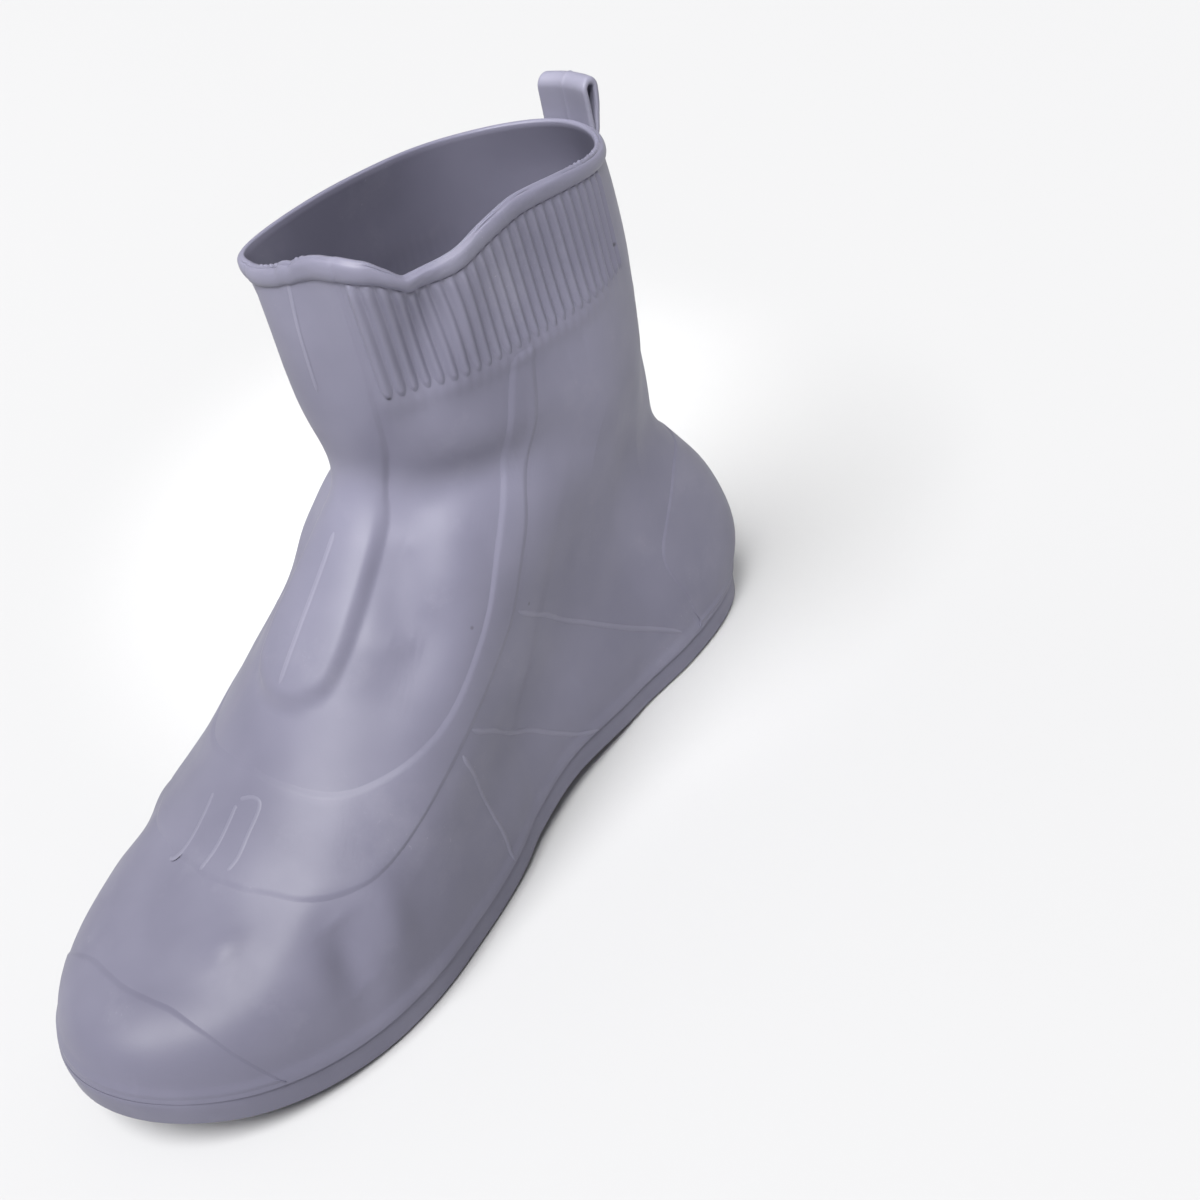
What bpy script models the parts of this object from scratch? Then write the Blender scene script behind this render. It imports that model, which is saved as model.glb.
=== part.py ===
"""A moulded mid-height rubber overshoe for the right foot, standing empty on its sole.

Metres, +Z up, toe towards -Y, medial (inner) side towards +X. The origin lies on the floor, under the
middle of the whole shoe. Every loop of the upper runs from a front point on the toe, vamp or shin to a
back point on the heel. "Around" is the share of the way from the front (0) to the back (1), positive on
the medial side, and "level" counts the loops of the section tables, from the sole (0) to the collar.
"""
import math

import bmesh
import bpy
import numpy as np
from mathutils import Vector
from mathutils.geometry import delaunay_2d_cdt

# Driving sizes of the shoe
SOLE_LENGTH = 0.293
BALL_WIDTH = 0.115
TOE_RADIUS = 0.037
HEEL_RADIUS = 0.034
TOE_SPRING = 0.0165
SPRING_LENGTH = 0.075
ARCH_RISE = 0.005
ARCH_START = 0.411
ARCH_SPAN = 0.353
INSTEP_HEIGHT = 0.134
COLLAR_HEIGHT = 0.196
COLLAR_BACK_HEIGHT = 0.187

# The moulded wall and the forms raised on it
WALL = 0.0018
SEAM_GAP = 0.0003
RIDGE_HEIGHT = 0.0018
BAND_HEIGHT = 0.0006
TOE_CAP_HEIGHT = 0.0005
COUNTER_HEIGHT = 0.0004
RIB_HEIGHT = 0.0008
RIB_PITCH = 0.0038
RIB_WIDTH = 0.0022
BEAD_WIDTH = 0.0046
BEAD_HEIGHT = 0.0012
BEAD_ROWS = (1.0, 0.93, 0.72, 0.5, 0.28, 0.07)

# The outsole
SOLE_SIDE = 0.0098
SOLE_EDGE_ROUND = 0.0012
SEAM_INSET = 0.0014
BED_RIM = 0.0050
BED_DEPTH = 0.0035
BED_SLOPE = 0.0012
WINDOW_RIM = 0.0072
WINDOW_DEPTH = 0.0024
WINDOW_STEP = 0.0010
WINDOW_LEDGE = 0.0016
STUD_PITCH = 0.0140
STUD_RADIUS = 0.0059
SMALL_STUD_RADIUS = 0.0028
STUD_PROUD = 0.0004
STUD_MARGIN = 0.0006
LATTICE_TURN = math.radians(10.7)

# The pull loop
LOOP_WIDTH = 0.020
LOOP_RISE = 0.0155
LOOP_SEAT = 0.013
LOOP_DEPTH = 0.0085
LOOP_BAND = 0.0024

# Half widths of the sole's outline: medial and lateral as shares of BALL_WIDTH
SOLE_COLUMNS = ("along", "medial", "lateral")
SOLE_STATIONS = (
    (0.039, 0.241, 0.263),
    (0.078, 0.328, 0.361),
    (0.123, 0.387, 0.430),
    (0.179, 0.431, 0.487),
    (0.242, 0.456, 0.529),
    (0.301, 0.457, 0.539),
    (0.365, 0.435, 0.527),
    (0.418, 0.410, 0.497),
    (0.470, 0.380, 0.464),
    (0.516, 0.345, 0.439),
    (0.620, 0.305, 0.414),
    (0.725, 0.284, 0.386),
    (0.825, 0.290, 0.360),
    (0.915, 0.264, 0.298),
    (0.966, 0.202, 0.210),
)

# Loops of the foot: lengths are shares of SOLE_LENGTH, heights shares of INSTEP_HEIGHT, widths shares of
# the sole's own. "shaft" blends a loop from the sole's outline (0) to the shaft's squared oval (1).
LOOP_COLUMNS = ("front_along", "front_up", "back_along", "back_up", "medial", "lateral", "shaft", "square", "spring")
FOOT_LOOPS = (
    (0.022, 0.204, 1.024, 0.190, 0.98, 1.00, 0.00, 1.00, 0.90),
    (0.076, 0.284, 1.002, 0.375, 0.90, 0.89, 0.00, 1.00, 0.60),
    (0.197, 0.382, 0.969, 0.491, 0.83, 0.83, 0.10, 1.00, 0.30),
    (0.308, 0.546, 0.943, 0.599, 0.75, 0.75, 0.30, 1.00, 0.00),
    (0.397, 0.716, 0.936, 0.700, 0.70, 0.69, 0.60, 1.02, 0.00),
    (0.482, 0.869, 0.940, 0.814, 0.66, 0.66, 0.90, 1.10, 0.00),
    (0.532, 1.000, 0.943, 0.890, 0.64, 0.63, 1.00, 0.98, 0.00),
)
# Loops of the shaft: heights are shares of the way from the instep's loop up to the collar
SHAFT_LOOPS = (
    (0.526, 0.330, 0.945, 0.343, 0.64, 0.64, 1.00, 0.75, 0.00),
    (0.525, 0.675, 0.943, 0.744, 0.63, 0.63, 1.00, 0.75, 0.00),
    (0.536, 1.000, 0.932, 1.000, 0.63, 0.61, 1.00, 0.40, 0.00),
)

# Half width of the central ridge, in rows of (level, around)
RIDGE_EDGE = (
    (4.80, 0.092),
    (5.10, 0.099),
    (5.60, 0.098),
    (6.20, 0.090),
    (6.80, 0.075),
    (7.30, 0.089),
    (7.70, 0.102),
    (8.20, 0.110),
    (8.60, 0.116),
    (9.20, 0.118),
    (10.0, 0.119),
)
RIDGE_END = 4.48
RIDGE_END_LENGTH = 0.32
STRIP_SHARE = 0.45

# Edges of the raised forms, in rows of (around, level) from the front centre outwards
BAND_INNER = (
    (0.000, 3.97),
    (0.057, 3.90),
    (0.125, 3.77),
    (0.175, 3.73),
    (0.233, 3.77),
    (0.276, 3.93),
    (0.306, 4.30),
    (0.323, 4.87),
    (0.310, 5.63),
    (0.299, 6.37),
    (0.300, 7.03),
    (0.378, 8.22),
)
BAND_OUTER = (
    (0.038, 3.03),
    (0.093, 2.93),
    (0.140, 2.77),
    (0.182, 2.63),
    (0.227, 2.53),
    (0.261, 2.57),
    (0.294, 2.83),
    (0.329, 3.33),
    (0.368, 3.73),
    (0.394, 4.13),
    (0.401, 4.60),
    (0.373, 5.67),
    (0.363, 6.43),
    (0.420, 7.77),
    (0.448, 8.22),
)
BAND_NOTCH = (
    (0.000, 3.71),
    (0.028, 3.69),
    (0.037, 3.60),
)
TOE_CAP_EDGE = (
    (0.000, 1.94),
    (0.030, 1.92),
    (0.063, 1.80),
    (0.102, 1.40),
    (0.134, 0.87),
    (0.163, 0.30),
)
TOE_CAP_FOOT = 0.13
COUNTER_EDGE = (
    (1.000, 3.62),
    (0.930, 3.56),
    (0.860, 3.37),
    (0.800, 2.50),
    (0.780, 1.80),
    (0.800, 0.70),
    (0.817, 0.30),
)
COUNTER_FOOT = 0.30
RIB_LEVELS = (8.35, 9.66)
RIB_SPAN = (0.128, 0.712)


# Tread windows as shares of SOLE_LENGTH, and where one stud of each stands, in metres
FOREFOOT_WINDOW = (0.0245, 0.499)
HEEL_WINDOW = (0.690, 0.990)
FOREFOOT_STUD_ORIGIN = (0.031, 0.135)
HEEL_STUD_ORIGIN = (-0.004, 0.250)
BIG_STUD_SIDES = 9
SMALL_STUD_SIDES = 6
LEAST_STUD_SHARE = 0.22

# Where the mesh has its columns (around) and rows (level), closer together on the toe and heel
HALF_COLUMNS = (0, 0.04, 0.08, 0.12, 0.165, 0.215, 0.27, 0.325, 0.38, 0.425, 0.47, 0.515, 0.56, 0.605, 0.65,
                0.70, 0.75, 0.80, 0.84, 0.875, 0.91, 0.94, 0.97, 1)
SEAM_ROWS = (0, COUNTER_FOOT, 0.62, 1.0, 1.4, 1.9, 2.7, 3.62, 4.3, 5.2, 6.2, 7.1, 8.0, 8.8, 9.3)
LOOSE_ROWS = (0.15, 0.45, 0.8, 1.2, 1.65)
INNER_ROWS = (0, 0.5, 1.1, 1.9, 3.0, 4.2, 5.3, 6.4, 7.3, 8.6, 10)
RIDGE_ROWS = 13
RIDGE_LINES = (1.0, 0.90, 0.60)
POINT_ROOM = 0.0022
SOLE_POINTS = 58
THIN_SPACING = 0.0065
TABLE_ROWS = 161
TABLE_COLUMNS = 361


def smooth(x, xs, ys):
    """A smooth curve through the points (xs, ys) that never overshoots them: monotone cubics."""
    x, xs, ys = np.asarray(x, float), np.asarray(xs, float), np.asarray(ys, float)
    step = np.diff(xs)
    slope = np.diff(ys) / step
    inner = np.zeros(len(xs) - 2)
    same = slope[:-1] * slope[1:] > 0
    w1 = 2 * step[1:] + step[:-1]
    w2 = step[1:] + 2 * step[:-1]
    inner[same] = ((w1 + w2)[same]) / (w1[same] / slope[:-1][same] + w2[same] / slope[1:][same])
    tangent = np.concatenate([[slope[0]], inner, [slope[-1]]])
    i = np.clip(np.searchsorted(xs, x) - 1, 0, len(step) - 1)
    q = np.clip((x - xs[i]) / step[i], 0, 1)
    h00 = (1 + 2 * q) * (1 - q) ** 2
    h10 = q * (1 - q) ** 2
    h01 = q * q * (3 - 2 * q)
    h11 = q * q * (q - 1)
    return h00 * ys[i] + h10 * step[i] * tangent[i] + h01 * ys[i + 1] + h11 * step[i] * tangent[i + 1]


def round_curve(points, steps):
    """Points on a smooth curve through hand-placed ones: a Catmull-Rom spline."""
    p = np.asarray(points, float)
    p = np.vstack([2 * p[0] - p[1], p, 2 * p[-1] - p[-2]])
    q = np.linspace(0, 1, steps, endpoint=False)[:, None]
    out = []
    for a, b, c, d in zip(p[:-3], p[1:-2], p[2:-1], p[3:]):
        out.append(0.5 * (2 * b + (c - a) * q + (2 * a - 5 * b + 4 * c - d) * q ** 2
                          + (3 * b - a - 3 * c + d) * q ** 3))
    return np.vstack(out + [p[-2:-1]])


def sole_fullness(share, side):
    """Half width of the sole over the sine of the loop's angle, so that toe and heel stay round."""
    rows = np.array(SOLE_STATIONS)
    along = rows[:, 0]
    width = rows[:, SOLE_COLUMNS.index(side)] * BALL_WIDTH / (2 * np.sqrt(along * (1 - along)))
    toe = math.sqrt(TOE_RADIUS * SOLE_LENGTH / 2)
    heel = math.sqrt(HEEL_RADIUS * SOLE_LENGTH / 2)
    return smooth(share, np.concatenate([[0], along, [1]]), np.concatenate([[toe], width, [heel]]))


def floor_line(along):
    """Height of the tread above the floor: the toe spring in front of the ball, and the arch."""
    rise = TOE_SPRING * np.clip(1 - along / SPRING_LENGTH, 0, None) ** 2
    waist = np.clip((along / SOLE_LENGTH - ARCH_START) / ARCH_SPAN, 0, 1)
    return rise + ARCH_RISE * np.sin(math.pi * waist) ** 2


def sole_outline(angle):
    """The sole's outline, seen from above: x, and the distance along from the toe."""
    share = (1 - np.cos(angle)) / 2
    full = np.where(np.sin(angle) >= 0, sole_fullness(share, "medial"), sole_fullness(share, "lateral"))
    return full * np.sin(angle), share * SOLE_LENGTH


def loop_rows():
    """Both section tables in metres, with the loop on the sole's edge in front of them."""
    rows = [(SEAM_INSET, SOLE_SIDE + SEAM_GAP, SOLE_LENGTH - SEAM_INSET, SOLE_SIDE + SEAM_GAP,
             1.0, 1.0, 0.0, 1.0, 1.0)]
    for front, up, back, back_up, *rest in FOOT_LOOPS:
        rows.append((front * SOLE_LENGTH, up * INSTEP_HEIGHT, back * SOLE_LENGTH, back_up * INSTEP_HEIGHT, *rest))
    front_low, back_low = rows[-1][1], rows[-1][3]
    for front, up, back, back_up, *rest in SHAFT_LOOPS:
        rows.append((front * SOLE_LENGTH, front_low + up * (COLLAR_HEIGHT - front_low),
                     back * SOLE_LENGTH, back_low + back_up * (COLLAR_BACK_HEIGHT - back_low), *rest))
    return np.array(rows)


LOOPS = loop_rows()
TOP = len(LOOPS) - 1


def upper_point(level, angle):
    """Points of the upper's outer face before anything is raised on it."""
    numbers = np.arange(len(LOOPS))
    row = {name: smooth(level, numbers, LOOPS[:, i]) for i, name in enumerate(LOOP_COLUMNS)}
    c, s = np.cos(angle), np.sin(angle)
    power = row["square"] + (1 - row["square"]) * (1 - c) / 2
    foot_share = (1 - c) / 2
    shaft_share = (1 - np.sign(c) * np.abs(c) ** power) / 2
    share = foot_share + (shaft_share - foot_share) * row["shaft"]
    full = np.where(s >= 0, sole_fullness(foot_share, "medial"), sole_fullness(foot_share, "lateral"))
    foot_x = full * s
    shaft_x = BALL_WIDTH / 2 * np.sign(s) * np.abs(s) ** power
    x = np.where(s >= 0, row["medial"], row["lateral"]) * (foot_x + (shaft_x - foot_x) * row["shaft"])
    along = row["front_along"] + (row["back_along"] - row["front_along"]) * share
    z = row["front_up"] + (row["back_up"] - row["front_up"]) * share + row["spring"] * floor_line(along)
    return np.stack([x, along, z], -1)


class UpperFace:
    """The upper's outer face as a table of points and normals over (level, around)."""

    def __init__(self):
        fine = np.linspace(-math.pi, math.pi, 2 * TABLE_COLUMNS - 1)
        self.levels = np.linspace(0, TOP, TABLE_ROWS)
        self.around = np.linspace(-1, 1, TABLE_COLUMNS)
        rows = []
        for level in self.levels:
            p = upper_point(np.full_like(fine, level), fine)
            run = np.concatenate([[0], np.cumsum(np.linalg.norm(np.diff(p, axis=0), axis=1))])
            run -= run[TABLE_COLUMNS - 1]
            run = np.where(run < 0, run / -run[0], run / run[-1])
            angle = np.interp(self.around, run, fine)
            rows.append(upper_point(np.full_like(angle, level), angle))
        self.points = np.array(rows)
        over = np.concatenate([self.points[:, -2:-1], self.points, self.points[:, 1:2]], 1)
        across = over[:, 2:] - over[:, :-2]
        upward = np.gradient(self.points, axis=0)
        normal = np.cross(across, upward)
        self.normals = normal / np.linalg.norm(normal, axis=-1, keepdims=True)
        self.girths = np.linalg.norm(np.diff(self.points, axis=1), axis=-1).sum(1) / 2
        self.heights = np.linalg.norm(np.diff(self.points, axis=0), axis=-1)
        last = self.heights[self.levels[1:] > TOP - 0.5]
        self.level_height = float(last.mean() * (TABLE_ROWS - 1) / TOP)

    def read(self, table, around, level):
        """Reads a table between its own points."""
        i = np.clip(np.asarray(level, float) / TOP * (TABLE_ROWS - 1), 0, TABLE_ROWS - 1 - 1e-9)
        j = np.clip((np.asarray(around, float) + 1) / 2 * (TABLE_COLUMNS - 1), 0, TABLE_COLUMNS - 1 - 1e-9)
        i0, j0 = i.astype(int), j.astype(int)
        p, q = (i - i0)[..., None], (j - j0)[..., None]
        low = table[i0, j0] * (1 - q) + table[i0, j0 + 1] * q
        high = table[i0 + 1, j0] * (1 - q) + table[i0 + 1, j0 + 1] * q
        return low * (1 - p) + high * p

    def at(self, around, level, out=0.0):
        """Points that stand out from the face by a distance."""
        normal = self.read(self.normals, around, level)
        normal /= np.linalg.norm(normal, axis=-1, keepdims=True)
        return self.read(self.points, around, level) + normal * np.asarray(out, float)[..., None]

    def around_for(self, length, level):
        """The share of the way round that a length of wall takes at a level."""
        return length / np.interp(level, self.levels, self.girths)


def ridge_half_width(level):
    """How far round the central ridge and the front strip above it reach."""
    rows = np.array(RIDGE_EDGE)
    return smooth(level, rows[:, 0], rows[:, 1])


def ridge_relief(around, level):
    """Height of the rounded ridge: full over the instep, lower as the flat strip under the collar."""
    beyond = np.clip((RIDGE_END + RIDGE_END_LENGTH - level) / RIDGE_END_LENGTH, 0, None)
    away = np.clip(around / ridge_half_width(level), -9, 9) ** 2 + beyond ** 2
    height = RIDGE_HEIGHT * smooth(level, (0, 7.6, 8.6, TOP), (1, 1, STRIP_SHARE, STRIP_SHARE))
    return height * np.clip(1 - away, 0, 1) ** 0.35


def bead_relief(face, level):
    """Height of the round bead at the collar's edge."""
    down = (TOP - level) * face.level_height
    q = np.clip(2 * down / BEAD_WIDTH - 1, -1, 1)
    return BEAD_HEIGHT * np.sqrt(1 - q * q)


def mesh_object(name, vertices, faces, colour, roughness):
    """Makes one object with its own material from points and faces, welded and shaded smooth."""
    mesh = bpy.data.meshes.new(name)
    mesh.from_pydata([tuple(v) for v in vertices], [], [tuple(f) for f in faces])
    build = bmesh.new()
    build.from_mesh(mesh)
    bmesh.ops.remove_doubles(build, verts=build.verts, dist=1e-6)
    bmesh.ops.recalc_face_normals(build, faces=build.faces)
    build.to_mesh(mesh)
    build.free()
    mesh.shade_smooth()
    mesh.set_sharp_from_angle(angle=math.radians(35))
    material = bpy.data.materials.new(name)
    material.use_nodes = True
    shader = material.node_tree.nodes["Principled BSDF"]
    shader.inputs["Base Color"].default_value = (*colour, 1.0)
    shader.inputs["Roughness"].default_value = roughness
    shader.inputs["Metallic"].default_value = 0.0
    mesh.materials.append(material)
    item = bpy.data.objects.new(name, mesh)
    bpy.context.scene.collection.objects.link(item)
    return item


def inside(polygon, points):
    """Which points lie inside a closed polygon."""
    x, y = points[:, 0:1], points[:, 1:2]
    a, b = polygon, np.roll(polygon, -1, axis=0)
    rise = b[:, 1] - a[:, 1]
    rise = np.where(np.abs(rise) < 1e-15, 1e-15, rise)
    crossing = ((a[:, 1] > y) != (b[:, 1] > y)) & (x < (b[:, 0] - a[:, 0]) * (y - a[:, 1]) / rise + a[:, 0])
    return crossing.sum(1) % 2 == 1


def distance_to(lines, points):
    """Shortest distance from each point to a set of polylines."""
    best = np.full(len(points), 1e9)
    for line in lines:
        a, b = line[:-1], line[1:]
        run = b - a
        size = np.maximum((run ** 2).sum(1), 1e-18)
        q = np.clip(((points[:, None] - a) * run).sum(-1) / size, 0, 1)
        away = points[:, None] - a - q[..., None] * run
        best = np.minimum(best, np.sqrt((away ** 2).sum(-1)).min(1))
    return best


def stepped_sheet(points, lines, level_of, place):
    """A triangulated sheet with upright steps where its levels change.

    points are loose 2D points, lines are 2D polylines that become edges, level_of gives each triangle's
    level from its centre, with -1 for outside, and place turns 2D points and levels into 3D ones.
    """
    flat, edges = [tuple(p) for p in points], []
    for line in lines:
        start = len(flat)
        flat += [tuple(p) for p in line]
        edges += [(start + i, start + i + 1) for i in range(len(line) - 1)]
    result = delaunay_2d_cdt([Vector(p) for p in flat], edges, [], 0, 1e-7)
    corners = np.array([tuple(v) for v in result[0]])
    triangles = np.array([tuple(f) for f in result[2]])
    levels = level_of(corners[triangles].mean(1))
    keep = levels >= 0
    triangles, levels = triangles[keep], levels[keep]
    names, keys, faces, owner = {}, [], [], {}

    def number(corner, level):
        key = (int(corner), int(level))
        if key not in names:
            names[key] = len(keys)
            keys.append(key)
        return names[key]

    for triangle, level in zip(triangles, levels):
        faces.append(tuple(number(c, level) for c in triangle))
        for a, b in zip(triangle, np.roll(triangle, -1)):
            owner[(int(a), int(b))] = int(level)
    for (a, b), level in owner.items():
        other = owner.get((b, a), level)
        if other > level:
            faces.append((number(b, level), number(a, level), number(a, other), number(b, other)))
    index, level = np.array(keys).T
    return place(corners[index], level), faces


def ladder(ring):
    """Faces that close a ring whose two sides match: strips from side to side."""
    n = len(ring)
    faces = [(ring[0], ring[1], ring[n - 1])]
    for k in range(1, n // 2 - 1):
        faces.append((ring[k], ring[k + 1], ring[n - k - 1], ring[n - k]))
    faces.append((ring[n // 2 - 1], ring[n // 2], ring[n // 2 + 1]))
    return faces


def strip(lower, upper):
    """Faces between two rings of the same count."""
    n = len(lower)
    return [(lower[i], lower[(i + 1) % n], upper[(i + 1) % n], upper[i]) for i in range(n)]


def both_sides(curve):
    """A curve from the front centre and its mirror image as one line."""
    mirrored = curve[::-1] * (-1, 1)
    return np.vstack([mirrored[:-1], curve]) if abs(curve[0, 0]) < 1e-9 else np.vstack([mirrored, curve])


class Flat:
    """The upper's (around, level) plane drawn nearly to scale, where the raised forms are laid out."""

    def __init__(self, face):
        self.girth = float(np.mean(face.girths))
        self.level = float(np.mean(face.heights.sum(0))) / TOP

    def to(self, points):
        return np.asarray(points, float) * (self.girth, self.level)

    def back(self, points):
        return np.asarray(points, float) / (self.girth, self.level)


def raised_forms(face):
    """Closed outlines of the raised forms with their heights, in (around, level)."""
    forms = []
    inner = round_curve(BAND_INNER, 3)
    outer = np.vstack([BAND_NOTCH[:2], round_curve(((BAND_NOTCH[2]), BAND_OUTER[0]), 2)[:-1],
                       round_curve(BAND_OUTER, 3)])
    forms.append((np.vstack([both_sides(inner), both_sides(outer)[::-1]]), BAND_HEIGHT))
    cap = both_sides(round_curve(TOE_CAP_EDGE, 3))
    foot = [(a, TOE_CAP_FOOT) for a in np.linspace(cap[-1, 0], cap[0, 0], 9)]
    forms.append((np.vstack([cap, foot]), TOE_CAP_HEIGHT))
    low, high = RIB_LEVELS
    pitch = face.around_for(RIB_PITCH, low)
    half = face.around_for(RIB_WIDTH, low) / 2
    count = int((RIB_SPAN[1] - RIB_SPAN[0]) / pitch)
    for side in (-1, 1):
        for k in range(count):
            centre = side * (RIB_SPAN[0] + (k + 0.5) * pitch)
            forms.append((np.array([(centre - half, low + 0.10), (centre, low), (centre + half, low + 0.10),
                                    (centre + half, high), (centre - half, high)]), RIB_HEIGHT))
    return forms


def upper(colour):
    """The hollow upper: a stepped outer face, a plain inner face, and the two edges that join them."""
    face = UpperFace()
    flat = Flat(face)
    forms = raised_forms(face)
    heights = [0.0] + [height for _, height in forms] + [COUNTER_HEIGHT]
    outlines = [flat.to(outline) for outline, _ in forms]
    counter = round_curve(COUNTER_EDGE, 3)
    foot = [(a, COUNTER_FOOT) for a in HALF_COLUMNS if a > counter[-1, 0] + 0.01]
    counter = np.vstack([counter, foot])
    sides = [flat.to(counter * (side, 1)) for side in (-1, 1)]

    half = np.array(HALF_COLUMNS)
    ends = np.concatenate([-half[:0:-1], half])
    columns = len(ends) - 1
    bead_levels = [TOP - BEAD_WIDTH / face.level_height * q for q in BEAD_ROWS]
    seam_levels = [*SEAM_ROWS, *bead_levels, TOP]
    lines = [flat.to([(a, 0) for a in ends]), flat.to([(a, TOP) for a in ends])]
    lines += [flat.to([(side, level) for level in seam_levels]) for side in (-1, 1)]
    lines += [flat.to([(a, level) for a in ends]) for level in bead_levels]
    lines += [np.vstack([outline, outline[:1]]) for outline in outlines]
    lines += [np.vstack([side, side[:1]])[:-1] for side in sides]
    start = RIDGE_END + RIDGE_END_LENGTH
    edge_levels = np.linspace(start, bead_levels[0], RIDGE_ROWS)[:-1]
    for share in RIDGE_LINES:
        tip = [(share * math.sin(q) * ridge_half_width(start), start - share * RIDGE_END_LENGTH * math.cos(q))
               for q in np.linspace(0, math.pi / 2, 5)[:-1]]
        edge = [(share * ridge_half_width(level), level) for level in edge_levels]
        lines.append(flat.to(both_sides(np.vstack([tip, edge]))))

    loose = [(a, level) for level in SEAM_ROWS[1:] for a in ends[1:-1]]
    loose += [(a, level) for level in LOOSE_ROWS for a in (ends[:-1] + ends[1:]) / 2]
    loose = flat.to(loose)
    loose = loose[distance_to(lines, loose) > POINT_ROOM]

    def level_of(centres):
        level = np.zeros(len(centres), int)
        for k, outline in enumerate(outlines):
            level[inside(outline, centres)] = k + 1
        for side in sides:
            level[inside(side, centres)] = len(heights) - 1
        return level

    def place(points, level):
        around, up = np.round(flat.back(points), 5).T
        out = np.array(heights)[level] + ridge_relief(around, up) + bead_relief(face, up)
        return face.at(around, up, out)

    outer, faces = stepped_sheet(loose, lines, level_of, place)
    ring = ends[:-1]
    around, up = np.meshgrid(ring, INNER_ROWS)
    inner = face.at(around.ravel(), up.ravel(), np.full(around.size, -WALL))
    inner[:columns, 2] = floor_line(inner[:columns, 1]) + SOLE_SIDE + SEAM_GAP
    start = len(outer)
    rings = [[start + r * columns + c for c in range(columns)] for r in range(len(INNER_ROWS))]
    points = np.vstack([outer, inner])
    for below, above in zip(rings[:-1], rings[1:]):
        faces += [tuple(reversed(f)) for f in strip(below, above)]
    for level, own in ((0, rings[0]), (TOP, rings[-1])):
        edge_points = place(flat.to([(a, level) for a in ring]), np.zeros(columns, int))
        edge_start = len(points)
        points = np.vstack([points, edge_points])
        other = list(range(edge_start, edge_start + columns))
        faces += strip(own, other) if level else strip(other, own)
    return face, mesh_object("upper", points, faces, colour, 0.45)


def inset(points, distance):
    """A closed outline moved inwards by a distance."""
    run = np.roll(points, -1, axis=0) - np.roll(points, 1, axis=0)
    normal = np.stack([-run[:, 1], run[:, 0]], -1) / np.linalg.norm(run, axis=1)[:, None]
    if (normal * (points - points.mean(0))).sum() > 0:
        normal = -normal
    return points + normal * distance


def clip(polygon, edges):
    """Cuts a convex polygon by the left sides of directed edges."""
    for a, b in edges:
        run = b - a
        side = run[0] * (polygon[:, 1] - a[1]) - run[1] * (polygon[:, 0] - a[0])
        out = []
        for k in range(len(polygon)):
            p, q, sp, sq = polygon[k - 1], polygon[k], side[k - 1], side[k]
            if (sp >= 0) != (sq >= 0):
                out.append(p + (q - p) * sp / (sp - sq))
            if sq >= 0:
                out.append(q)
        polygon = np.array(out)
        if len(polygon) < 3:
            return polygon
    return polygon


def window_outline(front, back, turn, more=0.0):
    """A tread window: the sole's outline moved in by the rim, between two straight ends."""
    angle = np.linspace(0, 2 * math.pi, 120, endpoint=False)
    outline = inset(np.stack(sole_outline(angle), -1), WINDOW_RIM + more)
    lean = math.tan(turn)
    low, high = front * SOLE_LENGTH + more, back * SOLE_LENGTH - more
    edges = []
    for limit, way in ((low, -1), (high, 1)):
        a = np.array([0.1 * way, limit - lean * 0.1 * way])
        b = np.array([-0.1 * way, limit + lean * 0.1 * way])
        edges.append((a, b))
    shape = clip(outline if signed_area(outline) > 0 else outline[::-1], edges)
    return thin_out(shape)


def signed_area(polygon):
    """Area of a polygon, positive where it runs anticlockwise."""
    nxt = np.roll(polygon, -1, axis=0)
    return 0.5 * float((polygon[:, 0] * nxt[:, 1] - nxt[:, 0] * polygon[:, 1]).sum())


def thin_out(polygon):
    """Leaves out points that lie close to the one before, except at corners."""
    keep = [polygon[0]]
    for k in range(1, len(polygon)):
        before, here, after = polygon[k - 1], polygon[k], polygon[(k + 1) % len(polygon)]
        a, b = here - before, after - here
        bend = abs(a[0] * b[1] - a[1] * b[0]) / max(np.linalg.norm(a) * np.linalg.norm(b), 1e-12)
        if np.linalg.norm(here - keep[-1]) > THIN_SPACING or bend > 0.3:
            keep.append(here)
    return np.array(keep)


def studs(window, origin, turn):
    """Outlines of the studs of one window: big ones on a lattice, small ones between them, cut at its edge."""
    forward = np.array([-math.sin(turn), -math.cos(turn)])
    across = np.array([-math.cos(turn), math.sin(turn)])
    edges = [(a, b) for a, b in zip(window, np.roll(window, -1, axis=0))]
    out = []
    reach = int(SOLE_LENGTH / STUD_PITCH)
    kinds = ((0.0, STUD_RADIUS, BIG_STUD_SIDES), (0.5, SMALL_STUD_RADIUS, SMALL_STUD_SIDES))
    for i in range(-reach, reach):
        for j in range(-reach, reach):
            for shift, radius, sides in kinds:
                centre = np.array(origin) + ((i + shift) * forward + (j + shift) * across) * STUD_PITCH
                angle = np.linspace(0, 2 * math.pi, sides, endpoint=False)
                shape = centre + radius * np.stack([np.cos(angle), np.sin(angle)], -1)
                near = [e for e in edges if distance_to([np.array(e)], centre[None])[0] < radius]
                if not inside(window, centre[None])[0] and not near:
                    continue
                shape = clip(shape, near)
                if len(shape) > 2 and signed_area(shape) > LEAST_STUD_SHARE * math.pi * radius ** 2:
                    out.append(shape)
    return out


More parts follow.
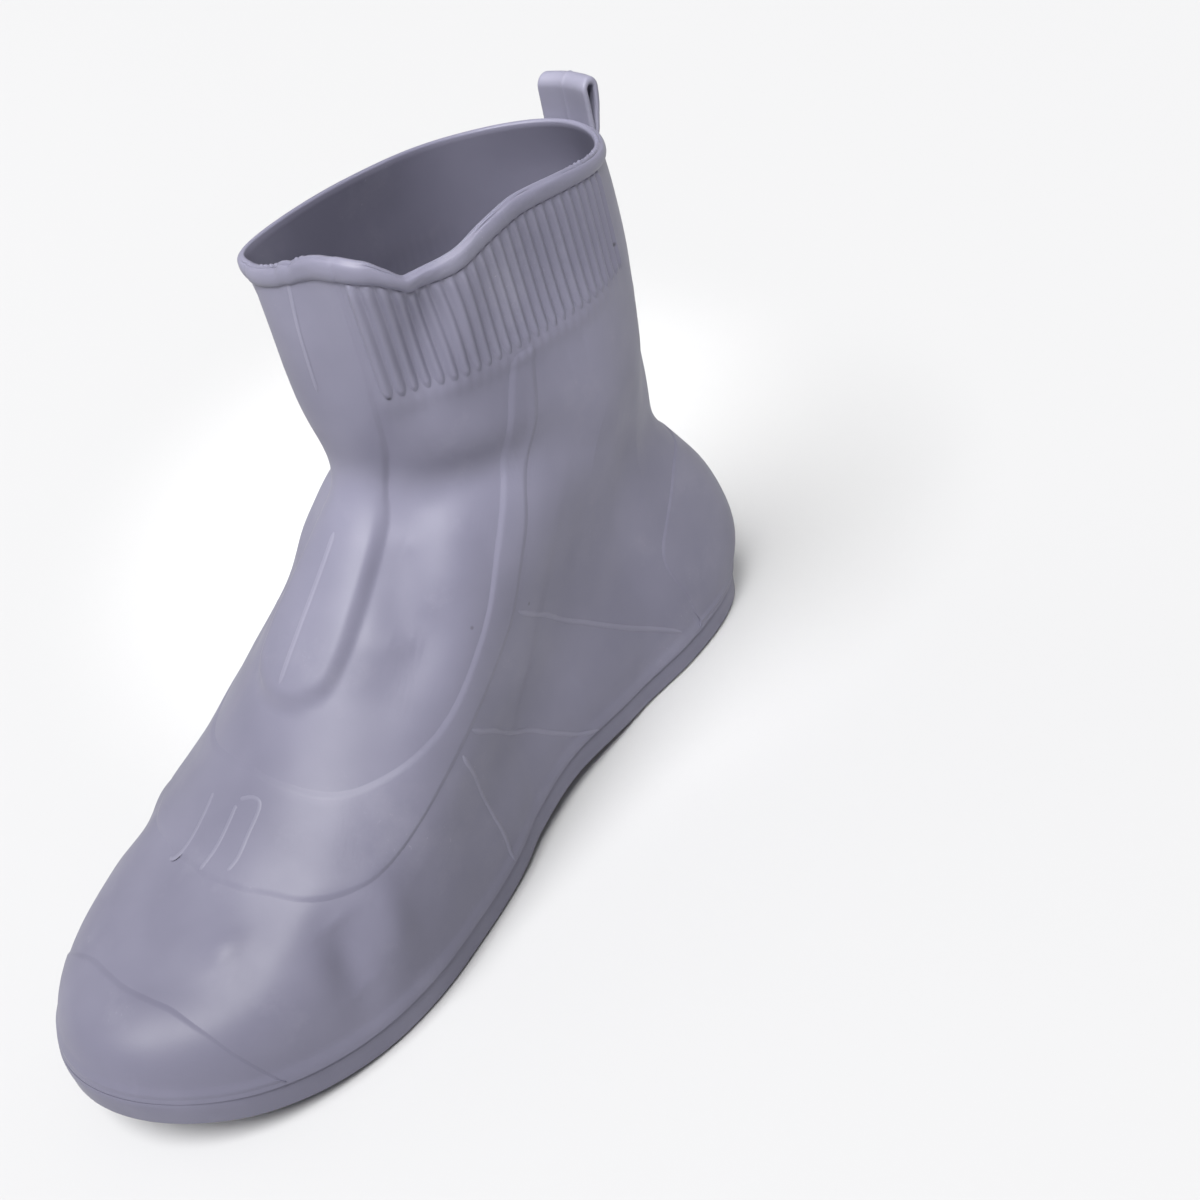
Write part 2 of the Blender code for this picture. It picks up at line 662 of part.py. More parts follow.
def outsole(colour):
    """The outsole: a stepped tread below, the side band around it and the dished bed above."""
    count = SOLE_POINTS
    angle = np.linspace(0, 2 * math.pi, count, endpoint=False)
    outline = np.stack(sole_outline(angle), -1)
    ground = inset(outline, SOLE_EDGE_ROUND)
    windows, ledges, lugs = [], [], []
    for (front, back), origin, turn in ((FOREFOOT_WINDOW, FOREFOOT_STUD_ORIGIN, LATTICE_TURN),
                                        (HEEL_WINDOW, HEEL_STUD_ORIGIN, 0.0)):
        windows.append(window_outline(front, back, turn))
        ledges.append(window_outline(front, back, turn, WINDOW_LEDGE))
        field = window_outline(front, back, turn, WINDOW_LEDGE + STUD_MARGIN)
        lugs += studs(field, origin, turn)
    heights = [STUD_PROUD, STUD_PROUD + WINDOW_STEP, STUD_PROUD + WINDOW_DEPTH, 0.0]
    closed = [np.vstack([p, p[:1]]) for p in [ground] + windows + ledges + lugs]

    def level_of(centres):
        level = np.where(inside(ground, centres), 0, -1)
        for k, group in enumerate((windows, ledges, lugs)):
            for polygon in group:
                level[inside(polygon, centres)] = k + 1
        return level

    def place(points, level):
        x, along = points.T
        return np.stack([x, along, np.array(heights)[level] + floor_line(along)], -1)

    points, faces = stepped_sheet(np.zeros((0, 2)), closed, level_of, place)
    faces = [tuple(reversed(f)) for f in faces]
    rows = [(SOLE_EDGE_ROUND, 0.0)]
    rows += [(SOLE_EDGE_ROUND * (1 - math.sin(q)), SOLE_EDGE_ROUND * (1 - math.cos(q))) for q in (0.79, 1.57)]
    top = SOLE_SIDE - STUD_PROUD
    rows += [(0.0, top - SOLE_EDGE_ROUND / 2), (SOLE_EDGE_ROUND / 2, top), (BED_RIM, top)]
    rows += [(BED_RIM + BED_SLOPE, top - BED_DEPTH)]
    rings = []
    for distance, up in rows:
        ring = inset(outline, distance)
        z = STUD_PROUD + up + floor_line(ring[:, 1])
        rings.append(list(range(len(points), len(points) + count)))
        points = np.vstack([points, np.column_stack([ring, z])])
    for below, above in zip(rings[:-1], rings[1:]):
        faces += strip(below, above)
    faces += ladder(rings[-1])
    return mesh_object("outsole", points, faces, colour, 0.5)


def back_of_wall(face, x, z):
    """How far back the upper's outer face reaches at the collar's back, beside the middle and below the rim."""
    levels = np.linspace(TOP - 2, TOP, 25)
    around = (1 if x >= 0 else -1) * np.linspace(0.72, 1.0, 41)
    reach, heights = [], []
    for level in levels:
        line = face.at(around, np.full(41, level), bead_relief(face, np.full(41, level)))
        order = np.argsort(np.abs(line[:, 0]))
        reach.append(np.interp(abs(x), np.abs(line[order, 0]), line[order, 1]))
        heights.append(np.interp(abs(x), np.abs(line[order, 0]), line[order, 2]))
    return float(np.interp(z, heights, reach))


def loop_profile():
    """The pull loop's outline and its eye, as (out from the wall, up from the rim)."""
    arc = np.linspace(0, math.pi, 7)[1:-1]
    middle, crown = LOOP_DEPTH / 2, LOOP_RISE - LOOP_DEPTH / 2
    eye_half = middle - LOOP_BAND
    outline = [(0.0, -LOOP_SEAT * q) for q in (1.0, 0.8, 0.6, 0.4, 0.3, 0.2, 0.1, 0.0)]
    outline += [(0.0, crown)]
    outline += [(middle * (1 - math.cos(q)), crown + middle * math.sin(q)) for q in arc]
    outline += [(LOOP_DEPTH, crown), (LOOP_DEPTH * 0.9, crown * 0.45), (LOOP_BAND * 1.7, -LOOP_SEAT * 0.3)]
    outline += [(LOOP_BAND * 1.15, -LOOP_SEAT * 0.6), (LOOP_BAND, -LOOP_SEAT)]
    eye = [(LOOP_BAND, crown)]
    eye += [(middle - eye_half * math.cos(q), crown + eye_half * math.sin(q)) for q in arc]
    eye += [(LOOP_DEPTH - LOOP_BAND, crown), (LOOP_DEPTH * 0.9 - LOOP_BAND, crown * 0.45), (LOOP_BAND * 1.25, 0.0)]
    return outline, eye


def pull_loop(face, colour):
    """The folded band behind the collar: a seat on the wall below the rim, and an eye open to the side."""
    outline, eye = loop_profile()
    profile = outline + eye
    stations = np.linspace(-LOOP_WIDTH / 2, LOOP_WIDTH / 2, 9)
    points = []
    for x in stations:
        for out, up in profile:
            z = COLLAR_BACK_HEIGHT + up
            seat = back_of_wall(face, x, min(z, COLLAR_BACK_HEIGHT - BEAD_WIDTH / 2))
            points.append((x, seat + SEAM_GAP + out, z))
    faces, size, n = [], len(profile), len(outline)
    for k in range(len(stations) - 1):
        a, b = k * size, (k + 1) * size
        for ring in (range(n), range(size - 1, n - 1, -1)):
            ring = list(ring)
            for i, j in zip(ring, ring[1:] + ring[:1]):
                faces.append((a + i, a + j, b + j, b + i))
    edges = [(i, (i + 1) % n) for i in range(n)] + [(i, i + 1) for i in range(n, size - 1)] + [(size - 1, n)]
    result = delaunay_2d_cdt([Vector(p) for p in profile], edges, [], 0, 1e-7)
    corners = np.array([tuple(v) for v in result[0]])
    source = [origins[0] for origins in result[3]]
    for triangle in result[2]:
        centre = corners[list(triangle)].mean(0)[None]
        if inside(np.array(outline), centre)[0] and not inside(np.array(eye), centre)[0]:
            own = [source[v] for v in triangle]
            faces.append(tuple(own))
            faces.append(tuple(size * (len(stations) - 1) + v for v in reversed(own)))
    return mesh_object("pull_loop", points, faces, colour, 0.45)


def centre_on_floor(items):
    """Moves the whole shoe so that its box stands on the origin."""
    points = np.vstack([[v.co[:] for v in item.data.vertices] for item in items])
    low, high = points.min(0), points.max(0)
    shift = -np.array([(low[0] + high[0]) / 2, (low[1] + high[1]) / 2, low[2]])
    for item in items:
        moved = np.array([v.co[:] for v in item.data.vertices]) + shift
        item.data.vertices.foreach_set("co", moved.ravel())
        item.data.update()


def main():
    for old in list(bpy.data.objects):
        bpy.data.objects.remove(old, do_unlink=True)
    rubber = (0.36, 0.355, 0.44)
    face, shell = upper(rubber)
    tread = outsole(rubber)
    loop = pull_loop(face, rubber)
    centre_on_floor((shell, tread, loop))


main()
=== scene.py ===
"""The looks of a moulded mid-height rubber overshoe, right foot, standing empty on its sole.

Metres, +Z up, toe towards -Y, medial (inner) side towards +X. Places on the upper are given as
(around, level): around runs from the front centre (0) to the back centre (1 or -1), positive on the medial
side, and level counts the loops of the section table from the sole (0) to the collar (10).
"""
import logging
import math
from dataclasses import dataclass, field
from enum import Enum
from typing import Optional

import bmesh
import bpy
import numpy as np
from mathutils import Matrix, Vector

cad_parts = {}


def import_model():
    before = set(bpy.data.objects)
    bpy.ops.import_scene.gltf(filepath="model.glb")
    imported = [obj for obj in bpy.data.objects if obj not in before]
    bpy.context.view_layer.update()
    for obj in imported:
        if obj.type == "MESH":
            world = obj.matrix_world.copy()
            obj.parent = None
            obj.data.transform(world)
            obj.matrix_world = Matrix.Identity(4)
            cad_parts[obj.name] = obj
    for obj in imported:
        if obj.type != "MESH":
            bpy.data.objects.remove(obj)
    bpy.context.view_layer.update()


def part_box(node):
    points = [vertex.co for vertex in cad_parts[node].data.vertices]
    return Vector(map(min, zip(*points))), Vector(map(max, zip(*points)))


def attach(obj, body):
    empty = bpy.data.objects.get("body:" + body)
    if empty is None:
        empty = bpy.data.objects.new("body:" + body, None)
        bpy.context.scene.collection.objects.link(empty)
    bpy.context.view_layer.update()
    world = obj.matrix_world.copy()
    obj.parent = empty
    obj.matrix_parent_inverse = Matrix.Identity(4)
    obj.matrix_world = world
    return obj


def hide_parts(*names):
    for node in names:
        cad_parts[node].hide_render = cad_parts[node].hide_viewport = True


LOG = logging.getLogger("overshoe")
Array = np.ndarray


@dataclass(frozen=True)
class ShoeSizes:
    """Driving sizes of the shoe, in metres."""

    sole_length: float = 0.293
    ball_width: float = 0.115
    toe_radius: float = 0.037
    heel_radius: float = 0.034
    toe_spring: float = 0.0165
    spring_length: float = 0.075
    arch_rise: float = 0.005
    arch_start: float = 0.411
    arch_span: float = 0.353
    instep_height: float = 0.134
    collar_height: float = 0.196
    collar_back_height: float = 0.187
    wall: float = 0.0018
    seam_gap: float = 0.0003
    seam_inset: float = 0.0014
    sole_side: float = 0.0098
    bead_width: float = 0.0046
    bead_height: float = 0.0012
    ridge_height: float = 0.0026
    foot_bead: float = 0.0009


SIZES = ShoeSizes()

# Half widths of the sole: along as a share of its length, medial and lateral as shares of the ball width
SOLE_STATIONS = np.array((
    (0.039, 0.241, 0.263),
    (0.078, 0.328, 0.361),
    (0.123, 0.387, 0.430),
    (0.179, 0.431, 0.487),
    (0.242, 0.456, 0.529),
    (0.301, 0.457, 0.539),
    (0.365, 0.435, 0.527),
    (0.418, 0.410, 0.497),
    (0.470, 0.380, 0.464),
    (0.516, 0.345, 0.439),
    (0.620, 0.305, 0.414),
    (0.725, 0.284, 0.386),
    (0.825, 0.290, 0.360),
    (0.915, 0.264, 0.298),
    (0.966, 0.202, 0.210),
))

# Loops of foot and shaft: lengths as shares of the sole's, heights as shares of the instep's (foot) or of the
# way from the instep up to the collar (shaft), widths as shares of the sole's own
LOOP_COLUMNS = ("front_along", "front_up", "back_along", "back_up", "medial", "lateral", "shaft", "square",
                "spring")
FOOT_LOOPS = (
    (0.022, 0.204, 1.024, 0.190, 0.98, 1.00, 0.00, 1.00, 0.90),
    (0.076, 0.284, 1.002, 0.375, 0.90, 0.89, 0.00, 1.00, 0.60),
    (0.197, 0.382, 0.969, 0.491, 0.83, 0.83, 0.10, 1.00, 0.30),
    (0.308, 0.546, 0.943, 0.599, 0.75, 0.75, 0.30, 1.00, 0.00),
    (0.397, 0.716, 0.936, 0.700, 0.70, 0.69, 0.60, 1.02, 0.00),
    (0.482, 0.869, 0.940, 0.814, 0.66, 0.66, 0.90, 1.10, 0.00),
    (0.532, 1.000, 0.943, 0.890, 0.64, 0.63, 1.00, 0.98, 0.00),
)
SHAFT_LOOPS = (
    (0.526, 0.330, 0.945, 0.343, 0.64, 0.64, 1.00, 0.75, 0.00),
    (0.525, 0.675, 0.943, 0.744, 0.63, 0.63, 1.00, 0.75, 0.00),
    (0.536, 1.000, 0.932, 1.000, 0.63, 0.61, 1.00, 0.40, 0.00),
)
TOP = len(FOOT_LOOPS) + len(SHAFT_LOOPS)

# Edges of the moulded forms, in rows of (around, level) from the front centre outwards
RIDGE_EDGE = ((0.092, 4.80), (0.099, 5.10), (0.098, 5.60), (0.090, 6.20), (0.075, 6.80), (0.089, 7.30),
              (0.102, 7.70), (0.110, 8.20), (0.116, 8.60), (0.118, 9.20), (0.119, 10.0))
BAND_INNER = ((0.000, 3.97), (0.057, 3.90), (0.125, 3.77), (0.175, 3.73), (0.233, 3.77), (0.276, 3.93),
              (0.306, 4.30), (0.323, 4.87), (0.310, 5.63), (0.299, 6.37), (0.300, 7.03), (0.378, 8.38))
BAND_OUTER = ((0.000, 3.03), (0.030, 3.03), (0.060, 2.99), (0.093, 2.93), (0.140, 2.77),
              (0.182, 2.63), (0.227, 2.53), (0.258, 2.60), (0.280, 2.80), (0.300, 3.03), (0.325, 3.27),
              (0.353, 3.52), (0.392, 3.95), (0.411, 4.41), (0.400, 5.32), (0.368, 6.43),
              (0.420, 7.77), (0.448, 8.38))
TOE_CAP_EDGE = ((0.000, 1.94), (0.030, 1.92), (0.063, 1.80), (0.102, 1.40), (0.134, 0.87),
                (0.163, 0.30), (0.173, 0.08))
COUNTER_EDGE = ((1.000, 3.62), (0.930, 3.56), (0.860, 3.37), (0.800, 2.50), (0.780, 1.80), (0.800, 0.70),
                (0.817, 0.30), (0.819, 0.13))
SIDE_LINES = (
    ((0.419, 4.36), (0.533, 3.55), (0.619, 2.59), (0.669, 1.91), (0.703, 1.45), (0.742, 0.95), (0.786, 0.36)),
    ((0.342, 3.45), (0.433, 2.73), (0.528, 1.55), (0.567, 0.91), (0.608, 0.32), (0.644, 0.00)),
    ((0.333, 3.23), (0.389, 2.55), (0.425, 1.82), (0.444, 1.23), (0.458, 0.64), (0.469, 0.05)),
)
NOTCH_LINES = (((-0.003, 3.68), (0.017, 3.73), (0.031, 3.68), (0.031, 3.45), (0.031, 3.27), (0.025, 3.14)),
               ((-0.053, 3.59), (-0.050, 3.36), (-0.050, 3.14), (-0.056, 3.00), (-0.064, 2.95)),
               ((-0.004, 3.64), (-0.004, 3.32), (-0.010, 3.08)))
PARTING_LINES = (((0.0, 9.83), (0.0, 9.1), (0.0, 8.37)), ((0.0, 6.13), (0.0, 5.4), (0.0, 4.66)))

# Small dark specks on the wall
SPECKS = ((0.300, 4.73), (0.451, 4.27), (0.724, 8.63), (0.140, 8.33), (-0.4, 5.2))


class Slot(Enum):
    """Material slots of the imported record."""

    UPPER = "upper"
    OUTSOLE = "outsole"
    PULL_LOOP = "pull_loop"


def smooth(x: Array, xs: Array, ys: Array) -> Array:
    """Reads a smooth curve that never overshoots its points: monotone cubics.

    Args:
        x: where to read. xs, ys: the curve's points, xs rising.
    Returns:
        The curve's heights, in the shape of x.
    """
    x, xs, ys = np.asarray(x, float), np.asarray(xs, float), np.asarray(ys, float)
    step = np.diff(xs)
    slope = np.diff(ys) / step
    inner = np.zeros(len(xs) - 2)
    same = slope[:-1] * slope[1:] > 0
    w1 = 2 * step[1:] + step[:-1]
    w2 = step[1:] + 2 * step[:-1]
    inner[same] = (w1 + w2)[same] / (w1[same] / slope[:-1][same] + w2[same] / slope[1:][same])
    tangent = np.concatenate([[slope[0]], inner, [slope[-1]]])
    i = np.clip(np.searchsorted(xs, x) - 1, 0, len(step) - 1)
    q = np.clip((x - xs[i]) / step[i], 0, 1)
    rise = (1 + 2 * q) * (1 - q) ** 2 * ys[i] + q * q * (3 - 2 * q) * ys[i + 1]
    return rise + step[i] * (q * (1 - q) ** 2 * tangent[i] + q * q * (q - 1) * tangent[i + 1])


def ease(x: Array, low: float, high: float) -> Array:
    """Rises softly from 0 at low to 1 at high: 3q^2 - 2q^3."""
    q = np.clip((np.asarray(x, float) - low) / (high - low), 0, 1)
    return q * q * (3 - 2 * q)


def unit(vectors: Array) -> Array:
    """Vectors divided by their own length."""
    return vectors / np.linalg.norm(vectors, axis=-1, keepdims=True)


def crossed(first: Array, second: Array) -> Array:
    """The cross product of flat vectors."""
    return first[..., 0] * second[..., 1] - first[..., 1] * second[..., 0]


def between(table: Array, i: Array, j: Array) -> Array:
    """Reads a table at fractional rows i and columns j, straight between its four nearest values."""
    i0, j0 = i.astype(int), j.astype(int)
    p, q = i - i0, j - j0
    if table.ndim == 3:
        p, q = p[..., None], q[..., None]
    low = table[i0, j0] * (1 - q) + table[i0, j0 + 1] * q
    high = table[i0 + 1, j0] * (1 - q) + table[i0 + 1, j0 + 1] * q
    return low * (1 - p) + high * p


def run_along(curve: Array, stretch: float) -> Array:
    """Length run from a curve's start to each of its (around, level) points, with around stretched."""
    return np.concatenate([[0], np.cumsum(np.linalg.norm(np.diff(curve * (stretch, 1.0), axis=0), axis=1))])


def read_curve(curve: Array, run: Array, where: Array) -> Array:
    """Points of a curve at given lengths run along it."""
    return np.stack([np.interp(where, run, curve[:, k]) for k in (0, 1)], -1)


def run_through(points: tuple, count: int) -> Array:
    """Points at even arc length on a Catmull-Rom curve through given ones.

    Args:
        points: rows of (around, level). count: how many points come back.
    Returns:
        An array (count, 2).
    """
    p = np.asarray(points, float)
    p = np.vstack([2 * p[0] - p[1], p, 2 * p[-1] - p[-2]])
    q = np.linspace(0, 1, 24, endpoint=False)[:, None, None]
    a, b, c, d = p[:-3], p[1:-2], p[2:-1], p[3:]
    square, cube = 2 * a - 5 * b + 4 * c - d, 3 * b - a - 3 * c + d
    curve = 0.5 * (2 * b + (c - a) * q + square * q ** 2 + cube * q ** 3)
    curve = np.vstack([curve.transpose(1, 0, 2).reshape(-1, 2), p[-2:-1]])
    run = run_along(curve, 20.0)
    return read_curve(curve, run, np.linspace(0, run[-1], count))


def both_sides(curve: Array) -> Array:
    """A curve from the front centre, led over from its own mirror image on the lateral side."""
    mirrored = curve[::-1] * (-1, 1)
    return np.vstack([mirrored[:-1], curve])


def sole_fullness(share: Array, column: int) -> Array:
    """Half width of the sole over the sine of its angle, so that toe and heel stay round."""
    along = SOLE_STATIONS[:, 0]
    width = SOLE_STATIONS[:, column] * SIZES.ball_width / (2 * np.sqrt(along * (1 - along)))
    toe, heel = (math.sqrt(r * SIZES.sole_length / 2) for r in (SIZES.toe_radius, SIZES.heel_radius))
    return smooth(share, np.concatenate([[0], along, [1]]), np.concatenate([[toe], width, [heel]]))


def floor_line(along: Array) -> Array:
    """Height of the tread: the toe spring falls with the distance squared, the arch is a sine squared."""
    rise = SIZES.toe_spring * np.clip(1 - along / SIZES.spring_length, 0, None) ** 2
    waist = np.clip((along / SIZES.sole_length - SIZES.arch_start) / SIZES.arch_span, 0, 1)
    return rise + SIZES.arch_rise * np.sin(math.pi * waist) ** 2


def sole_outline(angle: Array) -> Array:
    """The sole's outline from above as (x, along): x is the fullness times the sine of the angle."""
    share = (1 - np.cos(angle)) / 2
    full = np.where(np.sin(angle) >= 0, sole_fullness(share, 1), sole_fullness(share, 2))
    return np.stack([full * np.sin(angle), share * SIZES.sole_length], -1)


def sole_inset(angle: Array, distance: Array) -> Array:
    """The outline's points moved inwards, at right angles to the edge."""
    run = sole_outline(angle + 1e-4) - sole_outline(angle - 1e-4)
    normal = np.stack([-run[..., 1], run[..., 0]], -1) / np.linalg.norm(run, axis=-1)[..., None]
    return sole_outline(angle) + normal * np.asarray(distance)[..., None]


@dataclass(frozen=True)
class SoftForm:
    """A soft trough or ridge in the wall: a bell across a line, tapering at both ends.

    path: rows of (around, level). width: half width of the bell. height: out of the wall, or in if negative.
    """

    name: str
    path: tuple
    width: float
    height: float
    both: bool = False


CREASES = (
    SoftForm("ankle fold", ((0.10, 6.45), (0.17, 6.62), (0.33, 6.73)), 0.0075, -0.0018),
    SoftForm("ankle fold, lateral", ((-0.36, 6.70), (-0.24, 6.68), (-0.09, 6.48)), 0.0055, -0.0030),
    SoftForm("fold behind the band", ((0.36, 6.72), (0.46, 6.35), (0.574, 5.93)), 0.0110, -0.0024),
    SoftForm("roll above the ankle", ((0.17, 7.25), (0.26, 7.30), (0.36, 7.20)), 0.0090, 0.0014),
    SoftForm("hollow beside the ridge", ((0.125, 6.0), (0.160, 5.3), (0.207, 4.9), (0.17, 4.5)),
             0.0090, -0.0030, True),
    SoftForm("instep crown", ((0.240, 6.1), (0.235, 5.6), (0.255, 5.2)), 0.0100, 0.0014, True),
    SoftForm("band swell", ((0.30, 4.9), (0.28, 4.2), (0.22, 3.3), (0.16, 3.2)), 0.0120, 0.0012),
    SoftForm("flex dent", ((0.189, 2.33), (0.215, 1.95), (0.229, 1.63), (0.251, 0.90)), 0.0068, -0.0031),
    SoftForm("flex ridge", ((0.240, 2.45), (0.272, 1.80), (0.298, 1.05)), 0.0062, 0.0018),
    SoftForm("second dent", ((0.300, 2.10), (0.328, 1.60), (0.345, 1.00)), 0.0085, -0.0005),
    SoftForm("flex dent, lateral", ((-0.205, 2.20), (-0.240, 1.60), (-0.262, 1.0)), 0.0065, -0.0022),
    SoftForm("flex ridge, lateral", ((-0.250, 2.30), (-0.285, 1.70), (-0.305, 1.1)), 0.0065, 0.0014),
    SoftForm("vamp bump", ((0.060, 2.66), (0.074, 2.50), (0.090, 2.32)), 0.0060, 0.0016),
    SoftForm("toe hollow", ((-0.10, 2.30), (0.0, 2.22), (0.10, 2.12)), 0.0090, -0.0012),
    SoftForm("waist hollow", ((0.43, 1.55), (0.52, 1.50), (0.62, 1.45)), 0.0140, -0.0026, True),
    SoftForm("heel neck", ((0.78, 4.55), (0.90, 4.40), (1.0, 4.35)), 0.0100, -0.0018, True),
    SoftForm("heel tendon side", ((0.86, 7.8), (0.85, 6.4), (0.83, 5.2)), 0.0110, -0.0020, True),
    SoftForm("side swell", ((0.56, 8.0), (0.58, 7.0), (0.60, 5.8)), 0.0150, 0.0014, True),
    SoftForm("cuff corner, medial", ((0.150, 10.0), (0.142, 9.2), (0.130, 8.2)), 0.0055, 0.0014),
    SoftForm("cuff dent", ((0.275, 10.0), (0.240, 9.3), (0.205, 8.5), (0.19, 8.1)), 0.0070, -0.0026),
    SoftForm("cuff roll", ((0.335, 9.9), (0.310, 9.2), (0.285, 8.5)), 0.0070, 0.0014),
    SoftForm("cuff sag, medial", ((0.50, 9.9), (0.49, 9.0), (0.48, 8.2)), 0.0150, -0.0014),
    SoftForm("cuff sag, front", ((0.055, 9.9), (0.05, 9.0), (0.045, 8.2)), 0.0085, -0.0014),
    SoftForm("cuff shoulder", ((0.13, 8.24), (0.42, 8.24), (0.70, 8.24)), 0.0026, 0.0008, True),
)

# How far the collar's edge lies above or below its plain loop: rows of (around, metres)
RIM_WAVE = ((-1.0, 0.0), (-0.80, -0.0006), (-0.45, 0.0010), (-0.18, 0.0002), (-0.11, 0.0004), (-0.04, 0.0022),
            (0.03, 0.0062), (0.08, 0.0084), (0.13, 0.0086), (0.17, 0.0072), (0.205, 0.0032), (0.238, -0.0006),
            (0.275, -0.0004), (0.335, 0.0010), (0.42, 0.0044), (0.50, 0.0062), (0.60, 0.0052), (0.75, 0.0018),
            (0.85, 0.0002), (1.0, 0.0))


class UpperForm:
    """The upper's outer face as tables of points and normals over (level, around).

    Both roundings are the reach and the spread, in rows of the table. The ridge's end is in levels, and the
    rim's wave fades out at rim_from.
    """

    rows: int = 221
    columns: int = 721
    rounding: tuple[int, float] = (21, 6.5)
    toe_rounding: tuple[int, float] = (42, 14)
    ridge_end: float = 0.32
    rim_from: float = 8.4

    def __init__(self, shift: Array) -> None:
        """Works out the tables.

        Args:
            shift: what moves the plain coordinates (x, along, height) into the frame.
        """
        self.shift = shift
        self.loops = self._loop_rows()
        fine = np.linspace(-math.pi, math.pi, 2 * self.columns - 1)
        self.levels = np.linspace(0, TOP, self.rows)
        self.around = np.linspace(-1, 1, self.columns)
        plain = self._plain(self.levels[:, None] + 0 * fine, fine[None] + 0 * self.levels[:, None])
        run = np.linalg.norm(np.diff(plain, axis=1), axis=-1)
        run = np.concatenate([np.zeros((self.rows, 1)), np.cumsum(run, 1)], 1)
        run -= run[:, self.columns - 1:self.columns]
        run = np.where(run < 0, -run / run[:, :1], run / run[:, -1:])
        angle = np.array([np.interp(self.around, line, fine) for line in run])
        plain = self._plain(self.levels[:, None] + 0 * angle, angle)
        toe = (1 - ease(self.levels, 2.0, 3.2))[:, None] * (1 - ease(np.abs(self.around), 0.35, 0.60))[None]
        soft, softer = self._rounded(plain, *self.rounding), self._rounded(plain, *self.toe_rounding)
        self.points = soft * (1 - toe[..., None]) + toe[..., None] * softer
        self.points += shift
        over = np.concatenate([self.points[:, -2:-1], self.points, self.points[:, 1:2]], 1)
        normal = np.cross(over[:, 2:] - over[:, :-2], np.gradient(self.points, axis=0))
        self.normals = unit(normal)
        self.girths = np.linalg.norm(np.diff(self.points, axis=1), axis=-1).sum(1) / 2
        steps = np.linalg.norm(np.diff(self.points, axis=0), axis=-1)
        self.level_height = float(steps[self.levels[1:] > TOP - 0.5].mean() * (self.rows - 1) / TOP)
        self.soft = np.zeros((self.rows, self.columns))

    @staticmethod
    def _rounded(points: Array, reach: int, spread: float) -> Array:
        """Rounds the shoulders between loops: a bell-weighted mean over the levels near by, both ends kept."""
        start = 2 * points[:1] - points[reach:0:-1]
        stop = 2 * points[-1:] - points[-2:-reach - 2:-1]
        long = np.concatenate([start, points, stop])
        weight = np.exp(-0.5 * (np.arange(-reach, reach + 1) / spread) ** 2)
        weight /= weight.sum()
        return sum(w * long[i:i + len(points)] for i, w in enumerate(weight))

    @staticmethod
    def _loop_rows() -> Array:
        """Both section tables in metres, with the loop on the sole's edge in front of them."""
        size = SIZES
        seam = size.sole_side + size.seam_gap
        rows = [(size.seam_inset, seam, size.sole_length - size.seam_inset, seam, 1.0, 1.0, 0.0, 1.0, 1.0)]
        for front, up, back, back_up, *rest in FOOT_LOOPS:
            rows.append((front * size.sole_length, up * size.instep_height,
                         back * size.sole_length, back_up * size.instep_height, *rest))
        front_low, back_low = rows[-1][1], rows[-1][3]
        for front, up, back, back_up, *rest in SHAFT_LOOPS:
            rows.append((front * size.sole_length, front_low + up * (size.collar_height - front_low),
                         back * size.sole_length, back_low + back_up * (size.collar_back_height - back_low),
                         *rest))
        return np.array(rows)

    def _plain(self, level: Array, angle: Array) -> Array:
        """Points of the plain outer face: each loop blends from the sole's outline to a squared oval."""
        numbers = np.arange(len(self.loops))
        row = {name: smooth(level, numbers, self.loops[:, i]) for i, name in enumerate(LOOP_COLUMNS)}
        c, s = np.cos(angle), np.sin(angle)
        power = row["square"] + (1 - row["square"]) * (1 - c) / 2
        foot_share = (1 - c) / 2
        shaft_share = (1 - np.sign(c) * np.abs(c) ** power) / 2
        share = foot_share + (shaft_share - foot_share) * row["shaft"]
        full = np.where(s >= 0, sole_fullness(foot_share, 1), sole_fullness(foot_share, 2))
        shaft_x = SIZES.ball_width / 2 * np.sign(s) * np.abs(s) ** power
        x = np.where(s >= 0, row["medial"], row["lateral"]) * (full * s + (shaft_x - full * s) * row["shaft"])
        along = row["front_along"] + (row["back_along"] - row["front_along"]) * share
        z = row["front_up"] + (row["back_up"] - row["front_up"]) * share + row["spring"] * floor_line(along)
        return np.stack([x, along, z], -1)

    def read(self, table: Array, around: Array, level: Array) -> Array:
        """Reads a table between its own points.

        Args:
            table: (rows, columns) or (rows, columns, 3). around, level: where, in one shape.
        Returns:
            The values there.
        """
        i = np.clip(np.asarray(level, float) / TOP * (self.rows - 1), 0, self.rows - 1 - 1e-9)
        j = np.clip((np.asarray(around, float) + 1) / 2 * (self.columns - 1), 0, self.columns - 1 - 1e-9)
        return between(table, i, j)

    def add_soft_forms(self, forms: tuple) -> None:
        """Adds the creases to the soft relief: height times exp(-(distance / width)^2), faded at the ends."""
        flat = self.points.reshape(-1, 3)
        total = np.zeros(len(flat))
        for form in forms:
            for side in ((1, -1) if form.both else (1,)):
                path = run_through(form.path, 28) * (side, 1)
                line = self.read(self.points, path[:, 0], path[:, 1])
                middle = line.mean(0)
                reach = np.linalg.norm(line - middle, axis=1).max() + 3.2 * form.width
                near = np.flatnonzero(np.linalg.norm(flat - middle, axis=1) < reach)
                gap = np.linalg.norm(flat[near, None] - line[None], axis=-1)
                closest = gap.argmin(1)
                taper = np.sin(math.pi * np.clip((closest + 2.5) / (len(line) + 4), 0, 1)) ** 0.6
                total[near] += form.height * taper * np.exp(-(gap.min(1) / form.width) ** 2)
        self.soft += total.reshape(self.rows, self.columns)

